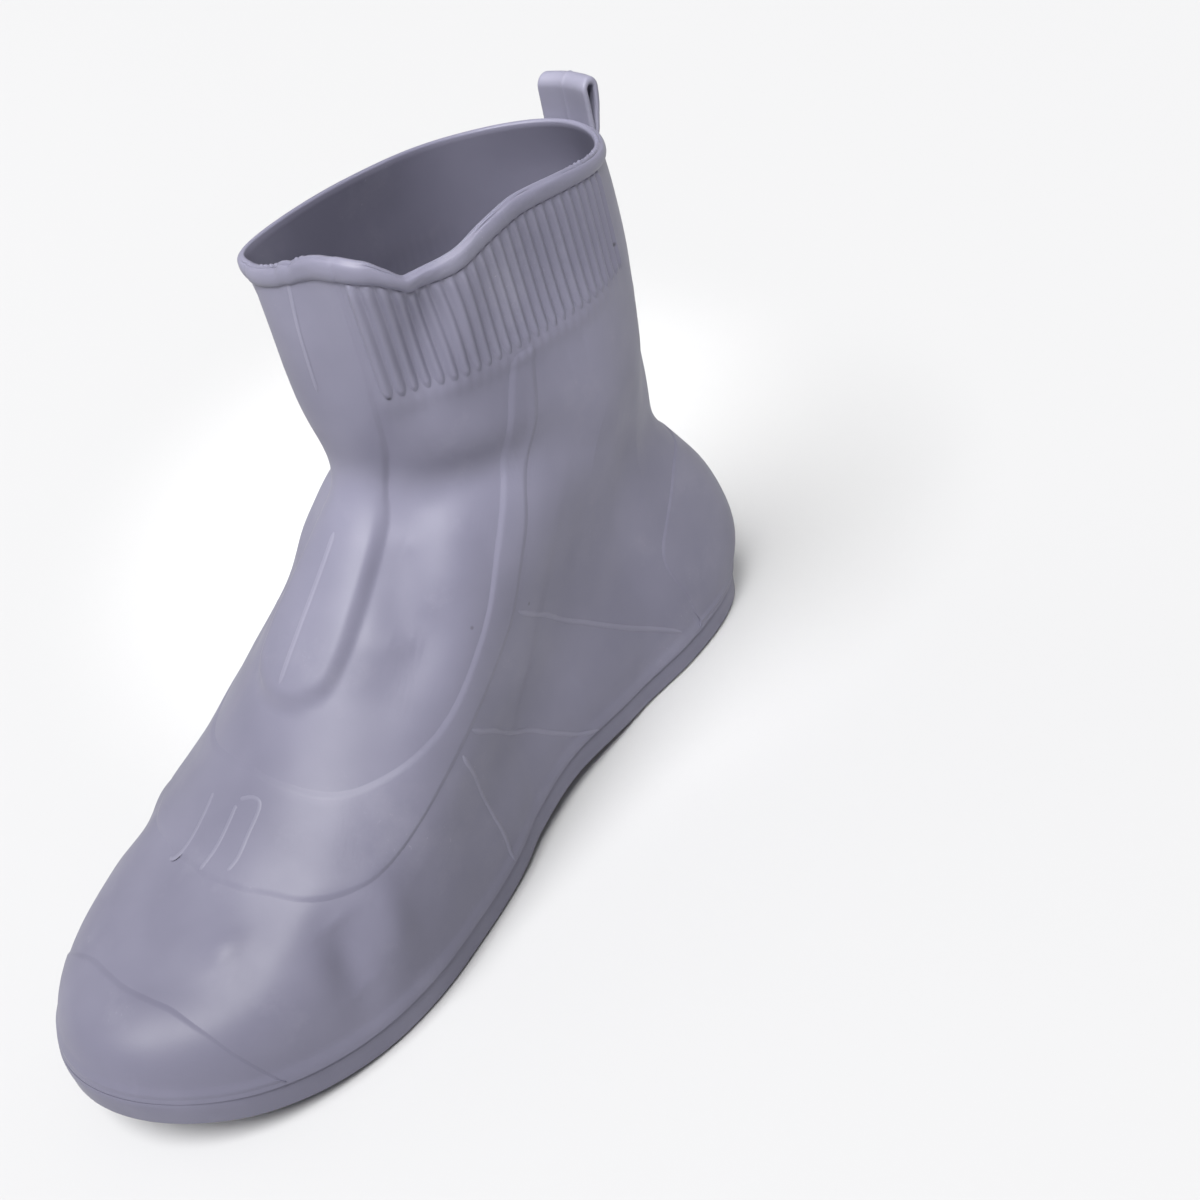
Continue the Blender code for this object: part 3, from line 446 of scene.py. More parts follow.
    def relief(self, around: Array, level: Array) -> Array:
        """Height of the wall's own moulded forms over the plain face: the creases, the foot, the ridge."""
        edge = np.array(RIDGE_EDGE)
        half = smooth(level, edge[:, 1], edge[:, 0])
        beyond = np.clip((edge[0, 1] - level) / self.ridge_end, 0, None)
        away = np.clip(around / half, -9, 9) ** 2 + beyond ** 2
        height = SIZES.ridge_height * smooth(level, (0, 5.2, 7.4, 8.4, TOP), (1.0, 1.0, 0.95, 0.68, 0.40))
        foot = SIZES.foot_bead * (1 - ease(level, 0.05, 0.34))
        rest, crisp = np.clip(1 - away, 0, 1), ease(level, 5.6, 6.8)
        flank = (1 - crisp) * ease(rest, 0, 0.55) + crisp * rest ** 0.42
        return self.read(self.soft, around, level) + foot + height * flank

    def at(self, around: Array, level: Array, out: Array = 0.0, relief: bool = True) -> Array:
        """Points a distance out from the wall.

        Args:
            around, level: places, in one shape. out: distance, negative inwards. relief: follow raised forms.
        Returns:
            Points in the frame.
        """
        around, level = np.broadcast_arrays(np.asarray(around, float), np.asarray(level, float))
        normal = unit(self.read(self.normals, around, level))
        own = self.relief(around, level) if relief else self.read(self.soft, around, level)
        point = self.read(self.points, around, level) + normal * (own + out)[..., None]
        wave = np.array(RIM_WAVE)
        fade = np.clip((level - self.rim_from) / (TOP - self.rim_from), 0, 1)
        lift = smooth(around, wave[:, 0], wave[:, 1]) * fade
        return point + lift[..., None] * (0, 0, 1)

    def bead(self, level: Array) -> Array:
        """Height of the round bead at the collar: a half circle's shape over its width."""
        q = np.clip(2 * (TOP - level) * self.level_height / SIZES.bead_width - 1, -1, 1)
        return SIZES.bead_height * np.sqrt(1 - q * q)

    def share(self, length: float, level: float) -> float:
        """The share of the way round that a length of wall takes at a level."""
        return length / float(np.interp(level, self.levels, self.girths))


def make_mesh(name: str, points: Array, faces: list, merge: float = 1e-6,
              sharp: float = 40.0) -> bpy.types.Object:
    """Makes one object from points and faces, with doubles merged, normals outwards and smooth shading.

    Args:
        name: the piece's name. points: (n, 3). faces: index tuples or arrays. merge: distance under which
        points are one. sharp: angle in degrees above which an edge stays sharp.
    Returns:
        The object, linked to the scene.
    """
    mesh = bpy.data.meshes.new(name)
    mesh.from_pydata(points.tolist(), [], [tuple(int(i) for i in f) for f in faces])
    build = bmesh.new()
    build.from_mesh(mesh)
    bmesh.ops.remove_doubles(build, verts=build.verts, dist=merge)
    bmesh.ops.dissolve_degenerate(build, edges=build.edges, dist=merge / 10)
    bmesh.ops.recalc_face_normals(build, faces=build.faces)
    build.to_mesh(mesh)
    build.free()
    mesh.shade_smooth()
    mesh.set_sharp_from_angle(angle=math.radians(sharp))
    item = bpy.data.objects.new(name, mesh)
    bpy.context.scene.collection.objects.link(item)
    return item


def grid_faces(rows: int, columns: int, wrap_rows: bool, wrap_columns: bool, start: int = 0) -> Array:
    """Quads of a grid of points.

    Args:
        rows, columns: the grid's size. wrap_rows, wrap_columns: close it that way round. start: first index.
    Returns:
        An array (faces, 4).
    """
    r = np.arange(rows if wrap_rows else rows - 1)[:, None]
    c = np.arange(columns if wrap_columns else columns - 1)[None]
    r1, c1 = (r + 1) % rows, (c + 1) % columns
    quads = np.stack([r * columns + c, r * columns + c1, r1 * columns + c1, r1 * columns + c], -1)
    return quads.reshape(-1, 4) + start


def tube_faces(rows: int, count: int) -> list:
    """Faces of a closed profile of count points on every row, with both ends capped."""
    ends = [list(range(count)), list(range((rows - 1) * count, rows * count))]
    return grid_faces(rows, count, False, True).tolist() + ends


def carried(path: Array, side: Array, up: Array, profile: Array) -> tuple[Array, list]:
    """A closed profile carried along a path, with capped ends: point = path + side * across + up * height.

    Args:
        path, side, up: (t, 3) points and unit directions. profile: (t, n, 2) of (across, height).
    Returns:
        Points and faces.
    """
    points = path[:, None] + side[:, None] * profile[..., :1] + up[:, None] * profile[..., 1:]
    return points.reshape(-1, 3), tube_faces(len(path), profile.shape[1])


@dataclass(frozen=True)
class RubberFinish:
    """Satin moulded rubber: its colours, gloss and the scale of its surface."""

    name: str
    colour: tuple[float, float, float] = (0.202, 0.197, 0.264)
    shade: tuple[float, float, float] = (0.166, 0.162, 0.222)
    dust: tuple[float, float, float] = (0.36, 0.355, 0.42)
    roughness: float = 0.47
    coat: float = 0.04
    grain: float = 0.10
    ripple: float = 0.22
    dust_amount: float = 0.8
    specular: float = 0.34
    coat_roughness: float = 0.30
    worn_roughness: float = 0.16
    bump: float = 0.55
    bump_distance: float = 0.0004
    specks: tuple[tuple[float, float, float], ...] = ()
    speck_size: float = 0.0009
    speck_colour: tuple[float, float, float] = (0.030, 0.028, 0.036)

    def material(self) -> bpy.types.Material:
        """Builds the material: tone and wear from the groups, gloss and grain from noise in object space.

        Returns:
            The material.
        """
        made = bpy.data.materials.new(self.name)
        made.use_nodes = True
        tree = made.node_tree
        shader = tree.nodes["Principled BSDF"]
        place = tree.nodes.new("ShaderNodeTexCoord").outputs["Object"]
        tone = set_down(tree, rubber_tone(), {
            "Place": place, "Colour": (*self.colour, 1), "Shade": (*self.shade, 1), "Dust": (*self.dust, 1),
            "Dust amount": self.dust_amount})
        skin = set_down(tree, rubber_skin(), {
            "Place": place, "Roughness": self.roughness, "Grain": self.grain, "Ripple": self.ripple})
        bump = tree.nodes.new("ShaderNodeBump")
        rough = reckoned(tree, "MULTIPLY_ADD", tone["Wear"], self.worn_roughness, skin["Roughness"])
        for socket, value in (("Strength", self.bump), ("Distance", self.bump_distance),
                              ("Height", skin["Height"])):
            join(tree, value, bump.inputs[socket])
        for socket, value in (
                ("Base Color", self._specks(tree, place, tone["Colour"])), ("Roughness", rough),
                ("Normal", bump.outputs["Normal"]), ("Metallic", 0.0), ("IOR", 1.5),
                ("Specular IOR Level", self.specular), ("Coat Weight", self.coat),
                ("Coat Roughness", self.coat_roughness)):
            join(tree, value, shader.inputs[socket])
        return made

    def _specks(self, tree: bpy.types.NodeTree, place: bpy.types.NodeSocket,
                colour: bpy.types.NodeSocket) -> bpy.types.NodeSocket:
        """Adds small dark specks: each is a ball round a point, mixed over the colour."""
        for centre in self.specks:
            away = tree.nodes.new("ShaderNodeVectorMath")
            away.operation = "DISTANCE"
            join(tree, place, away.inputs[0])
            join(tree, centre, away.inputs[1])
            ball = ranged(tree, away.outputs["Value"], 0.0002, self.speck_size, 0.75, 0.0)
            colour = mixed(tree, ball, colour, (*self.speck_colour, 1))
        return colour


def join(tree: bpy.types.NodeTree, value: object, socket: bpy.types.NodeSocket) -> None:
    """Links an output to an input, or writes a plain number or colour into it."""
    if isinstance(value, bpy.types.NodeSocket):
        tree.links.new(value, socket)
    else:
        socket.default_value = value


def reckoned(tree: bpy.types.NodeTree, operation: str, *values: object) -> bpy.types.NodeSocket:
    """Adds a math node on outputs or plain numbers and returns its value."""
    node = tree.nodes.new("ShaderNodeMath")
    node.operation = operation
    for value, socket in zip(values, node.inputs):
        join(tree, value, socket)
    return node.outputs[0]


def mixed(tree: bpy.types.NodeTree, share: bpy.types.NodeSocket, first: object,
          second: object) -> bpy.types.NodeSocket:
    """Adds a mix of two colours, by the share of the second, and returns its colour."""
    node = tree.nodes.new("ShaderNodeMix")
    node.data_type = "RGBA"
    for socket, value in (("Factor", share), ("A", first), ("B", second)):
        join(tree, value, node.inputs[socket])
    return node.outputs["Result"]


def set_down(tree: bpy.types.NodeTree, group: bpy.types.NodeTree, values: dict) -> bpy.types.NodeOutputs:
    """Places a group with its own values and returns its outputs."""
    node = tree.nodes.new("ShaderNodeGroup")
    node.node_tree = group
    for socket, value in values.items():
        join(tree, value, node.inputs[socket])
    return node.outputs


def new_group(name: str, inputs: tuple,
              outputs: tuple) -> tuple[bpy.types.NodeTree, bpy.types.Node, bpy.types.Node]:
    """Makes an empty shader group with named sockets.

    Args:
        name: the group's name. inputs, outputs: rows of (socket name, short type).
    Returns:
        The group, its input node and its output node.
    """
    tree = bpy.data.node_groups.new(name, "ShaderNodeTree")
    for way, rows in (("INPUT", inputs), ("OUTPUT", outputs)):
        for socket, kind in rows:
            tree.interface.new_socket(socket, in_out=way, socket_type="NodeSocket" + kind)
    return tree, tree.nodes.new("NodeGroupInput"), tree.nodes.new("NodeGroupOutput")


def noise(tree: bpy.types.NodeTree, place: bpy.types.NodeSocket, scale: float, detail: float,
          rough: float = 0.5) -> bpy.types.NodeSocket:
    """Adds a noise texture and returns its value."""
    node = tree.nodes.new("ShaderNodeTexNoise")
    node.inputs["Scale"].default_value = scale
    node.inputs["Detail"].default_value = detail
    node.inputs["Roughness"].default_value = rough
    tree.links.new(place, node.inputs["Vector"])
    return node.outputs["Fac"]


def ranged(tree: bpy.types.NodeTree, value: bpy.types.NodeSocket, low: float, high: float,
           to_low: float = 0.0, to_high: float = 1.0) -> bpy.types.NodeSocket:
    """Adds a clamped range that turns low..high into to_low..to_high."""
    node = tree.nodes.new("ShaderNodeMapRange")
    for socket, number in (("From Min", low), ("From Max", high), ("To Min", to_low), ("To Max", to_high)):
        node.inputs[socket].default_value = number
    tree.links.new(value, node.inputs["Value"])
    return node.outputs["Result"]


def rubber_tone() -> bpy.types.NodeTree:
    """The group for colour: two tones of rubber in broad clouds, under fine pale dust and rubbed patches."""
    if "rubber tone" in bpy.data.node_groups:
        return bpy.data.node_groups["rubber tone"]
    tree, come, go = new_group(
        "rubber tone", (("Place", "Vector"), ("Colour", "Color"), ("Shade", "Color"), ("Dust", "Color"),
                        ("Dust amount", "Float")), (("Colour", "Color"), ("Wear", "Float")))
    place = come.outputs["Place"]
    clouds = ranged(tree, noise(tree, place, 22.0, 3.0), 0.34, 0.66)
    base = mixed(tree, clouds, come.outputs["Colour"], come.outputs["Shade"])
    grains = ranged(tree, noise(tree, place, 900.0, 2.0, 0.6), 0.66, 0.76)
    patches = ranged(tree, noise(tree, place, 36.0, 6.0, 0.62), 0.55, 0.78)
    film = reckoned(tree, "MULTIPLY_ADD", patches, 0.26, reckoned(tree, "MULTIPLY", grains, patches))
    amount = reckoned(tree, "MULTIPLY", film, come.outputs["Dust amount"])
    join(tree, mixed(tree, amount, base, come.outputs["Dust"]), go.inputs["Colour"])
    join(tree, patches, go.inputs["Wear"])
    return tree


def rubber_skin() -> bpy.types.NodeTree:
    """The group for surface: height is ripple times broad plus grain times fine noise, and gloss varies."""
    if "rubber skin" in bpy.data.node_groups:
        return bpy.data.node_groups["rubber skin"]
    tree, come, go = new_group(
        "rubber skin", (("Place", "Vector"), ("Roughness", "Float"), ("Grain", "Float"), ("Ripple", "Float")),
        (("Height", "Float"), ("Roughness", "Float")))
    place = come.outputs["Place"]
    fine, broad = noise(tree, place, 1500.0, 3.0, 0.65), noise(tree, place, 95.0, 3.0, 0.5)
    grain = reckoned(tree, "MULTIPLY", fine, come.outputs["Grain"])
    join(tree, reckoned(tree, "MULTIPLY_ADD", broad, come.outputs["Ripple"], grain), go.inputs["Height"])
    uneven = ranged(tree, noise(tree, place, 60.0, 4.0), 0.3, 0.7, -0.04, 0.05)
    join(tree, reckoned(tree, "ADD", uneven, come.outputs["Roughness"]), go.inputs["Roughness"])
    return tree


def dress(item: bpy.types.Object, material: bpy.types.Material) -> bpy.types.Object:
    """Gives a piece its material and its body."""
    item.data.materials.clear()
    item.data.materials.append(material)
    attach(item, "root")
    return item


@dataclass
class Upper:
    """The moulded shell and the forms that stand out from it.

    A line's numbers are its width, its height and, where it doesn't start on the wall, how far out it sits.
    """

    form: UpperForm
    columns: int = 520
    band_height: float = 0.00054
    cap_height: float = 0.00042
    counter_height: float = 0.00042
    rib_height: float = 0.00105
    rib_pitch: float = 0.0038
    ribs_from: float = 0.128
    ribs_to: float = 0.765
    nick_height: float = 0.00022
    flash_height: float = 0.0006
    panel_start: float = 0.00008
    panel_sunk: float = 0.0003
    panel_body: float = 0.0009
    counter_foot: float = 0.815
    panel_line: tuple[float, ...] = (0.0017, 0.00026)
    parting_line: tuple[float, ...] = (0.0016, 0.00013)
    notch_line: tuple[float, ...] = (0.0017, 0.00024, 0.00040)
    pieces: list = field(default_factory=list)
    lines: list = field(default_factory=list)

    def build_shell(self) -> bpy.types.Object:
        """The hollow shell as one closed grid: up the outer face, over the rim and down the inner face."""
        around = np.linspace(-1, 1, self.columns, endpoint=False)
        run = SIZES.bead_width / self.form.level_height
        outer = np.concatenate([np.linspace(0, 0.3, 7), np.linspace(0.4, 8.3, 92),
                                np.linspace(8.42, TOP - 1.2 * run, 10),
                                TOP - run * (0.5 + 0.5 * np.cos(np.linspace(0.02, math.pi, 13)))])
        inner = np.concatenate([[TOP, 9.9], np.linspace(9.6, 0, 36)])
        wall = SIZES.wall
        a, v = np.meshgrid(around, outer)
        nick = self.nick_height * np.sin(41 * a) * np.sin(17 * a + 1.3) * ease(v, TOP - 0.5 * run, TOP)
        outside = self.form.at(a, v, self.form.bead(v) * (1 + 0.05 * np.sin(9 * a)) + nick)
        turn = np.linspace(0, math.pi, 6)[1:-1]
        a, q = np.meshgrid(around, turn)
        rim = self.form.at(a, np.full_like(a, TOP), -wall * (1 - np.cos(q)) / 2)
        rim[..., 2] += 0.0006 * np.sin(q) + self._flash(a) * np.sin(q) ** 2
        a, v = np.meshgrid(around, inner)
        inside = self.form.at(a, v, -wall, relief=False)
        low = inside[-1]
        low[:, 2] = floor_line(low[:, 1] - self.form.shift[1]) + SIZES.sole_side + SIZES.seam_gap
        points = np.concatenate([outside, rim, inside])
        faces = grid_faces(len(points), self.columns, True, True)
        shell = make_mesh("upper_shell", points.reshape(-1, 3), faces.tolist(), sharp=50.0)
        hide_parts("upper")
        self.pieces.append(shell)
        return shell

    def _flash(self, around: Array) -> Array:
        """Ragged mould flash on the rim: thin lips at the front and the medial back, with nicks between."""
        ragged = 0.45 + 0.5 * np.sin(263 * around) * np.sin(97 * around + 0.7)
        ragged += 0.45 * np.sin(431 * around + 2.0)
        front = ease(around, -0.12, -0.08) * (1 - ease(around, 0.03, 0.07))
        back = ease(around, 0.62, 0.68) * (1 - ease(around, 0.86, 0.93))
        return self.flash_height * np.clip(ragged, 0, 1.1) * (front + back)

    def raised_panel(self, name: str, first: Array, last: Array, height: float, middle: int = 14,
                     step: float = 0.0019, sinks_above: float = 99.0) -> bpy.types.Object:
        """A raised field of the wall between two edges, with a rounded step at each.

        Across, the height starts just under the wall's face and eases up to the full height over the step;
        underneath, the field is closed by its own lower face inside the wall.

        Args:
            name: the piece's name. first, last: matching (around, level) edges. height: how far it stands
            out.
            middle: points across between the two steps. step: the width of each step.
            sinks_above: the level above which the field sinks into the wall over a fifth of a level.
        Returns:
            The object.
        """
        ends_a = self.form.at(first[:, 0], first[:, 1])
        ends_b = self.form.at(last[:, 0], last[:, 1])
        width = np.linalg.norm(ends_a - ends_b, axis=1)[:, None]
        step_run = np.linspace(0, step, 7)
        step_rise = -self.panel_start + (height + self.panel_start) * ease(step_run, 0, step)
        near = np.minimum(step_run[None] / width, 0.45)
        inner = np.linspace(0, 1, middle + 2)[1:-1][None]
        inner = near[:, -1:] + inner * (1 - 2 * near[:, -1:])
        share = np.concatenate([near, inner, 1 - near[:, ::-1]], 1)
        rise = np.concatenate([step_rise, np.full(middle, height), step_rise[::-1]])
        below = share[:, ::-3][:, 1:-1]
        share = np.concatenate([share, below], 1)
        rise = np.concatenate([rise, np.full(below.shape[1], -self.panel_body)])[None] + 0 * share
        place = first[:, None] + (last - first)[:, None] * share[..., None]
        fade = 1 - ease(place[..., 1], sinks_above, sinks_above + 0.2)
        points = self.form.at(place[..., 0], place[..., 1], (rise + self.panel_sunk) * fade - self.panel_sunk)
        faces = tube_faces(len(first), share.shape[1])
        item = make_mesh(name, points.reshape(-1, 3), faces, merge=1e-7, sharp=55.0)
        self.pieces.append(item)
        return item

    def build_panels(self) -> None:
        """The strap band, the toe cap and the heel counter, each between listed edges."""
        inner = both_sides(run_through(BAND_INNER, 260))
        outer = self._matched(both_sides(run_through(BAND_OUTER, 900)), inner)
        self.raised_panel("strap_band", inner, outer, self.band_height, middle=10, step=0.0032,
                          sinks_above=8.12)
        cap = both_sides(run_through(TOE_CAP_EDGE, 150))
        foot = np.stack([cap[:, 0] * 1.02, np.full(len(cap), 0.06)], -1)
        self.raised_panel("toe_cap", cap, foot, self.cap_height, middle=16)
        edge = run_through(COUNTER_EDGE, 120)
        share = np.linspace(0, 1, len(edge))
        foot = np.stack([1 - (1 - self.counter_foot) * share, np.full(len(edge), 0.10)], -1)
        for side, word in ((1, "medial"), (-1, "lateral")):
            self.raised_panel(f"heel_counter_{word}", edge * (side, 1), foot * (side, 1), self.counter_height,
                              middle=18)

    @staticmethod
    def _matched(outer: Array, inner: Array) -> Array:
        """Pairs each point of the inner edge with one on the outer edge, at even shares of both lengths."""
        own, other = run_along(inner, 18.0), run_along(outer, 18.0)
        return read_curve(outer, other / other[-1], own / own[-1])

    def build_ribs(self) -> None:
        """The cuff's upright ribs: the absolute sine round the cuff to the power 1.5, with round lower ends."""
        pitch = self.form.share(self.rib_pitch, 8.35)
        level = np.concatenate([np.linspace(8.28, 8.50, 9), np.linspace(8.56, 9.58, 16),
                                np.linspace(9.62, 9.78, 5)])
        for side, start, word in ((1, self.ribs_from, "medial"), (-1, self.ribs_from + 0.04, "lateral")):
            count = int((self.ribs_to - start) / pitch)
            a, v = np.meshgrid(np.linspace(start, start + count * pitch, count * 9 + 1), level)
            beat = (a - start) / pitch
            wave = np.abs(np.sin(math.pi * beat))
            end = ease(v - 0.10 * np.abs(2 * (beat - np.floor(beat)) - 1) ** 2, 8.27, 8.40)
            fade = end * (1 - 0.5 * ease(v, 9.60, 9.76))
            rise = (self.rib_height + 0.0001) * wave ** 1.5 * fade - 0.0001
            rise[:, 0] = rise[:, -1] = rise[0] = rise[-1] = -self.panel_sunk
            upper = self.form.at(side * a, v, rise)
            lower = self.form.at(side * a, v, np.full_like(a, -self.panel_body))
            size = a.size
            points = np.concatenate([upper.reshape(-1, 3), lower.reshape(-1, 3)])
            top = grid_faces(*a.shape, False, False)
            faces = np.concatenate([top, top[:, ::-1] + size]).tolist()
            rows, columns = a.shape
            rim = np.concatenate([np.arange(columns), np.arange(1, rows) * columns + columns - 1,
                                  (rows - 1) * columns + np.arange(columns - 2, -1, -1),
                                  np.arange(rows - 2, 0, -1) * columns])
            nxt = np.roll(rim, -1)
            faces += np.stack([rim, nxt, nxt + size, rim + size], -1).tolist()
            self.pieces.append(make_mesh(f"cuff_ribs_{word}", points, faces, merge=1e-7, sharp=60.0))

    def thin_line(self, name: str, paths: list, width: float, height: float,
                  out: float = 0.0) -> bpy.types.Object:
        """Fine raised mould lines: a low round profile carried along the wall, thinning out at both ends.

        Args:
            name: the piece's name. paths: (around, level) rows. width, height: of the line. out: its seat.
        Returns:
            The object.
        """
        points, faces = [], []
        angle = np.linspace(0, 2 * math.pi, 8, endpoint=False)
        for path in paths:
            line = self.form.at(path[:, 0], path[:, 1], out)
            normal = self.form.read(self.form.normals, path[:, 0], path[:, 1])
            side = unit(np.cross(normal, np.gradient(line, axis=0)))
            thin = np.clip(np.sin(math.pi * np.linspace(0.001, 0.999, len(path))) * 6, 0.02, 1) ** 0.5
            profile = np.stack([width / 2 * np.cos(angle), height * np.sin(angle)], -1) * thin[:, None, None]
            own, quads = carried(line, side, unit(normal), profile)
            start = sum(len(p) for p in points)
            points.append(own)
            faces += [tuple(i + start for i in f) for f in quads]
        item = make_mesh(name, np.concatenate(points), faces, merge=1e-8, sharp=80.0)
        self.lines.append(item)
        return item

    def build_lines(self) -> None:
        """The faint panel lines of both sides, the parting line down the middle and the notch lines."""
        for number, line in enumerate(SIDE_LINES):
            path = run_through(line, 110)
            self.thin_line(f"panel_line_{number + 1}", [path, path * (-1, 1)], *self.panel_line)
        self.thin_line("parting_line", [run_through(line, 70) for line in PARTING_LINES], *self.parting_line)
        self.thin_line("notch_lines", [run_through(line, 70) for line in NOTCH_LINES], *self.notch_line)

    def build(self) -> None:
        """Builds every piece of the upper."""
        self.build_shell()
        self.build_panels()
        self.build_ribs()
        self.build_lines()

    def dress(self, finish: RubberFinish, highlight_line_finish: RubberFinish) -> None:
        """Dresses every piece of the upper in the one rubber, with a paler copy of it on the fine raised lines
        as a painted highlight.
        """
        for items, own in ((self.pieces, finish), (self.lines, highlight_line_finish)):
            material = own.material()
            for item in items:
                dress(item, material)


@dataclass
class Outsole:
    """The moulded sole: side band, dished bed, two tread windows and studs."""

    shift: Array
    edge_round: float = 0.0012
    proud: float = 0.0004
    bed_rim: float = 0.0050
    bed_slope: float = 0.0012
    bed_depth: float = 0.0035
    window_rim: float = 0.0072
    window_step: float = 0.0010
    window_depth: float = 0.0024
    window_ledge: float = 0.0016
    window_wall: float = 0.0003
    forefoot_end: float = 0.499
    heel_start: float = 0.690
    lattice_turn: float = math.radians(10.7)
    stud_pitch: float = 0.0140
    stud_radius: float = 0.0059
    small_radius: float = 0.0028
    stud_margin: float = 0.0006
    rung_gap: float = 0.0012
    lean_reach: float = 0.05
    medial_lean: float = 0.040
    lateral_lean: float = 0.050
    forefoot_origin: tuple = (0.031, 0.135)
    heel_origin: tuple = (-0.004, 0.250)
    pieces: list = field(default_factory=list)

    def _rungs(self) -> tuple[Array, Array, Array]:
        """Rungs from side to side, doubled where a window's straight end steps down.

        Returns:
            The medial and lateral angles of each rung, and the window's depth there.
        """
        length, wall = SIZES.sole_length, self.window_wall
        even = (1 - np.cos(np.linspace(0, math.pi, 150))) / 2 * length
        back, front = self.forefoot_end * length, self.heel_start * length
        ends = np.array([back - self.window_ledge - wall, back - self.window_ledge, back - wall, back,
                         front, front + wall, front + self.window_ledge, front + self.window_ledge + wall])
        clear = np.abs(even[:, None] - ends[None]).min(1) > self.rung_gap
        along = np.sort(np.concatenate([even[clear], ends]))
        deep = (along < ends[1] - 1e-6) | (along > ends[6] + 1e-6)
        depth = np.where(deep, self.window_depth, self.window_step)
        depth = np.where((along > ends[2] + 1e-6) & (along < ends[5] - 1e-6), 0.0, depth)
        lean = math.tan(self.lattice_turn) * np.exp(-((along - back) / self.lean_reach) ** 2)
        lean *= np.sin(math.pi * along / length)
        medial = np.clip(along - lean * self.medial_lean, 0, length)
        lateral = np.clip(along + lean * self.lateral_lean, 0, length)
        return np.arccos(1 - 2 * medial / length), np.arccos(1 - 2 * lateral / length), depth

    def build_body(self) -> bpy.types.Object:
        """The sole's body: rungs below and in the bed, and profiles carried round the outline."""
        medial, lateral, depth = self._rungs()
        rim, ledge, wall = self.window_rim, self.window_ledge, self.window_wall
        insets = np.array([self.edge_round, 0.004, rim, rim + wall, rim + ledge, rim + ledge + wall])
        drops = np.array([0.0, 0.0, 0.0, self.window_step, self.window_step, self.window_depth])
        bottom = self._ladder(medial, lateral, insets, 18)
        drops = np.concatenate([drops, np.full(18, self.window_depth), drops[::-1]])
        level = np.minimum(drops[None], depth[:, None]) + self.proud
        bottom = np.concatenate([bottom, (floor_line(bottom[..., 1]) + level)[..., None]], -1)
        side = SIZES.sole_side - self.proud
        turn = np.linspace(0, math.pi / 2, 5)
        profile = [(self.edge_round * (1 - math.sin(q)), self.edge_round * (1 - math.cos(q))) for q in turn]
        profile += [(0.0, 0.35 * side), (-0.0001, 0.60 * side), (0.0, 0.85 * side), (0.0002, 0.95 * side),
                    (0.0004, side), (self.bed_rim, side),
                    (self.bed_rim + self.bed_slope, side - self.bed_depth)]
        ring = np.concatenate([medial, -lateral[::-1][1:-1]])
        rows = []
        for inset, up in profile:
            flat = sole_inset(ring, np.full(len(ring), inset))
            rows.append(np.column_stack([flat, floor_line(flat[:, 1]) + self.proud + up]))
        bed = self._ladder(medial, lateral, np.array([self.bed_rim + self.bed_slope]), 10)
        up = floor_line(bed[..., 1]) + SIZES.sole_side - self.bed_depth
        bed = np.concatenate([bed, up[..., None]], -1)
        points, faces, start = [], [], 0
        for grid, wrap in ((bottom, False), (np.array(rows), True), (bed, False)):
            points.append(grid.reshape(-1, 3))
            faces += grid_faces(grid.shape[0], grid.shape[1], False, wrap, start).tolist()
            start += grid.shape[0] * grid.shape[1]
        body = make_mesh("outsole_body", np.concatenate(points) + self.shift, faces, merge=2e-6, sharp=35.0)
        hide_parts("outsole")
        self.pieces.append(body)
        return body

    @staticmethod
    def _ladder(medial: Array, lateral: Array, insets: Array, middle: int) -> Array:
        """Points across each rung: insets from the lateral edge, an even middle, insets to the medial edge."""
        one = np.ones(len(insets))
        left = sole_inset(-lateral[:, None] * one, insets[None] + 0 * lateral[:, None])
        right = sole_inset(medial[:, None] * one, insets[None] + 0 * medial[:, None])[:, ::-1]
        q = np.linspace(0, 1, middle + 2)[1:-1][None, :, None]
        between = left[:, -1:] * (1 - q) + right[:, :1] * q
        return np.concatenate([left, between, right], 1)

    def _window(self, front: bool) -> Array:
        """The edge of a window's stud field as a closed polygon of (x, along)."""
        inset = self.window_rim + self.window_ledge + self.stud_margin
        angle = np.linspace(0, 2 * math.pi, 240, endpoint=False)
        edge = sole_inset(angle, np.full(240, inset))
        gap = self.window_ledge + self.stud_margin
        if front:
            limit = self.forefoot_end * SIZES.sole_length - gap - math.tan(self.lattice_turn) * edge[:, 0]
            edge[:, 1] = np.minimum(edge[:, 1], limit)
        else:
            edge[:, 1] = np.maximum(edge[:, 1], self.heel_start * SIZES.sole_length + gap)
        return edge

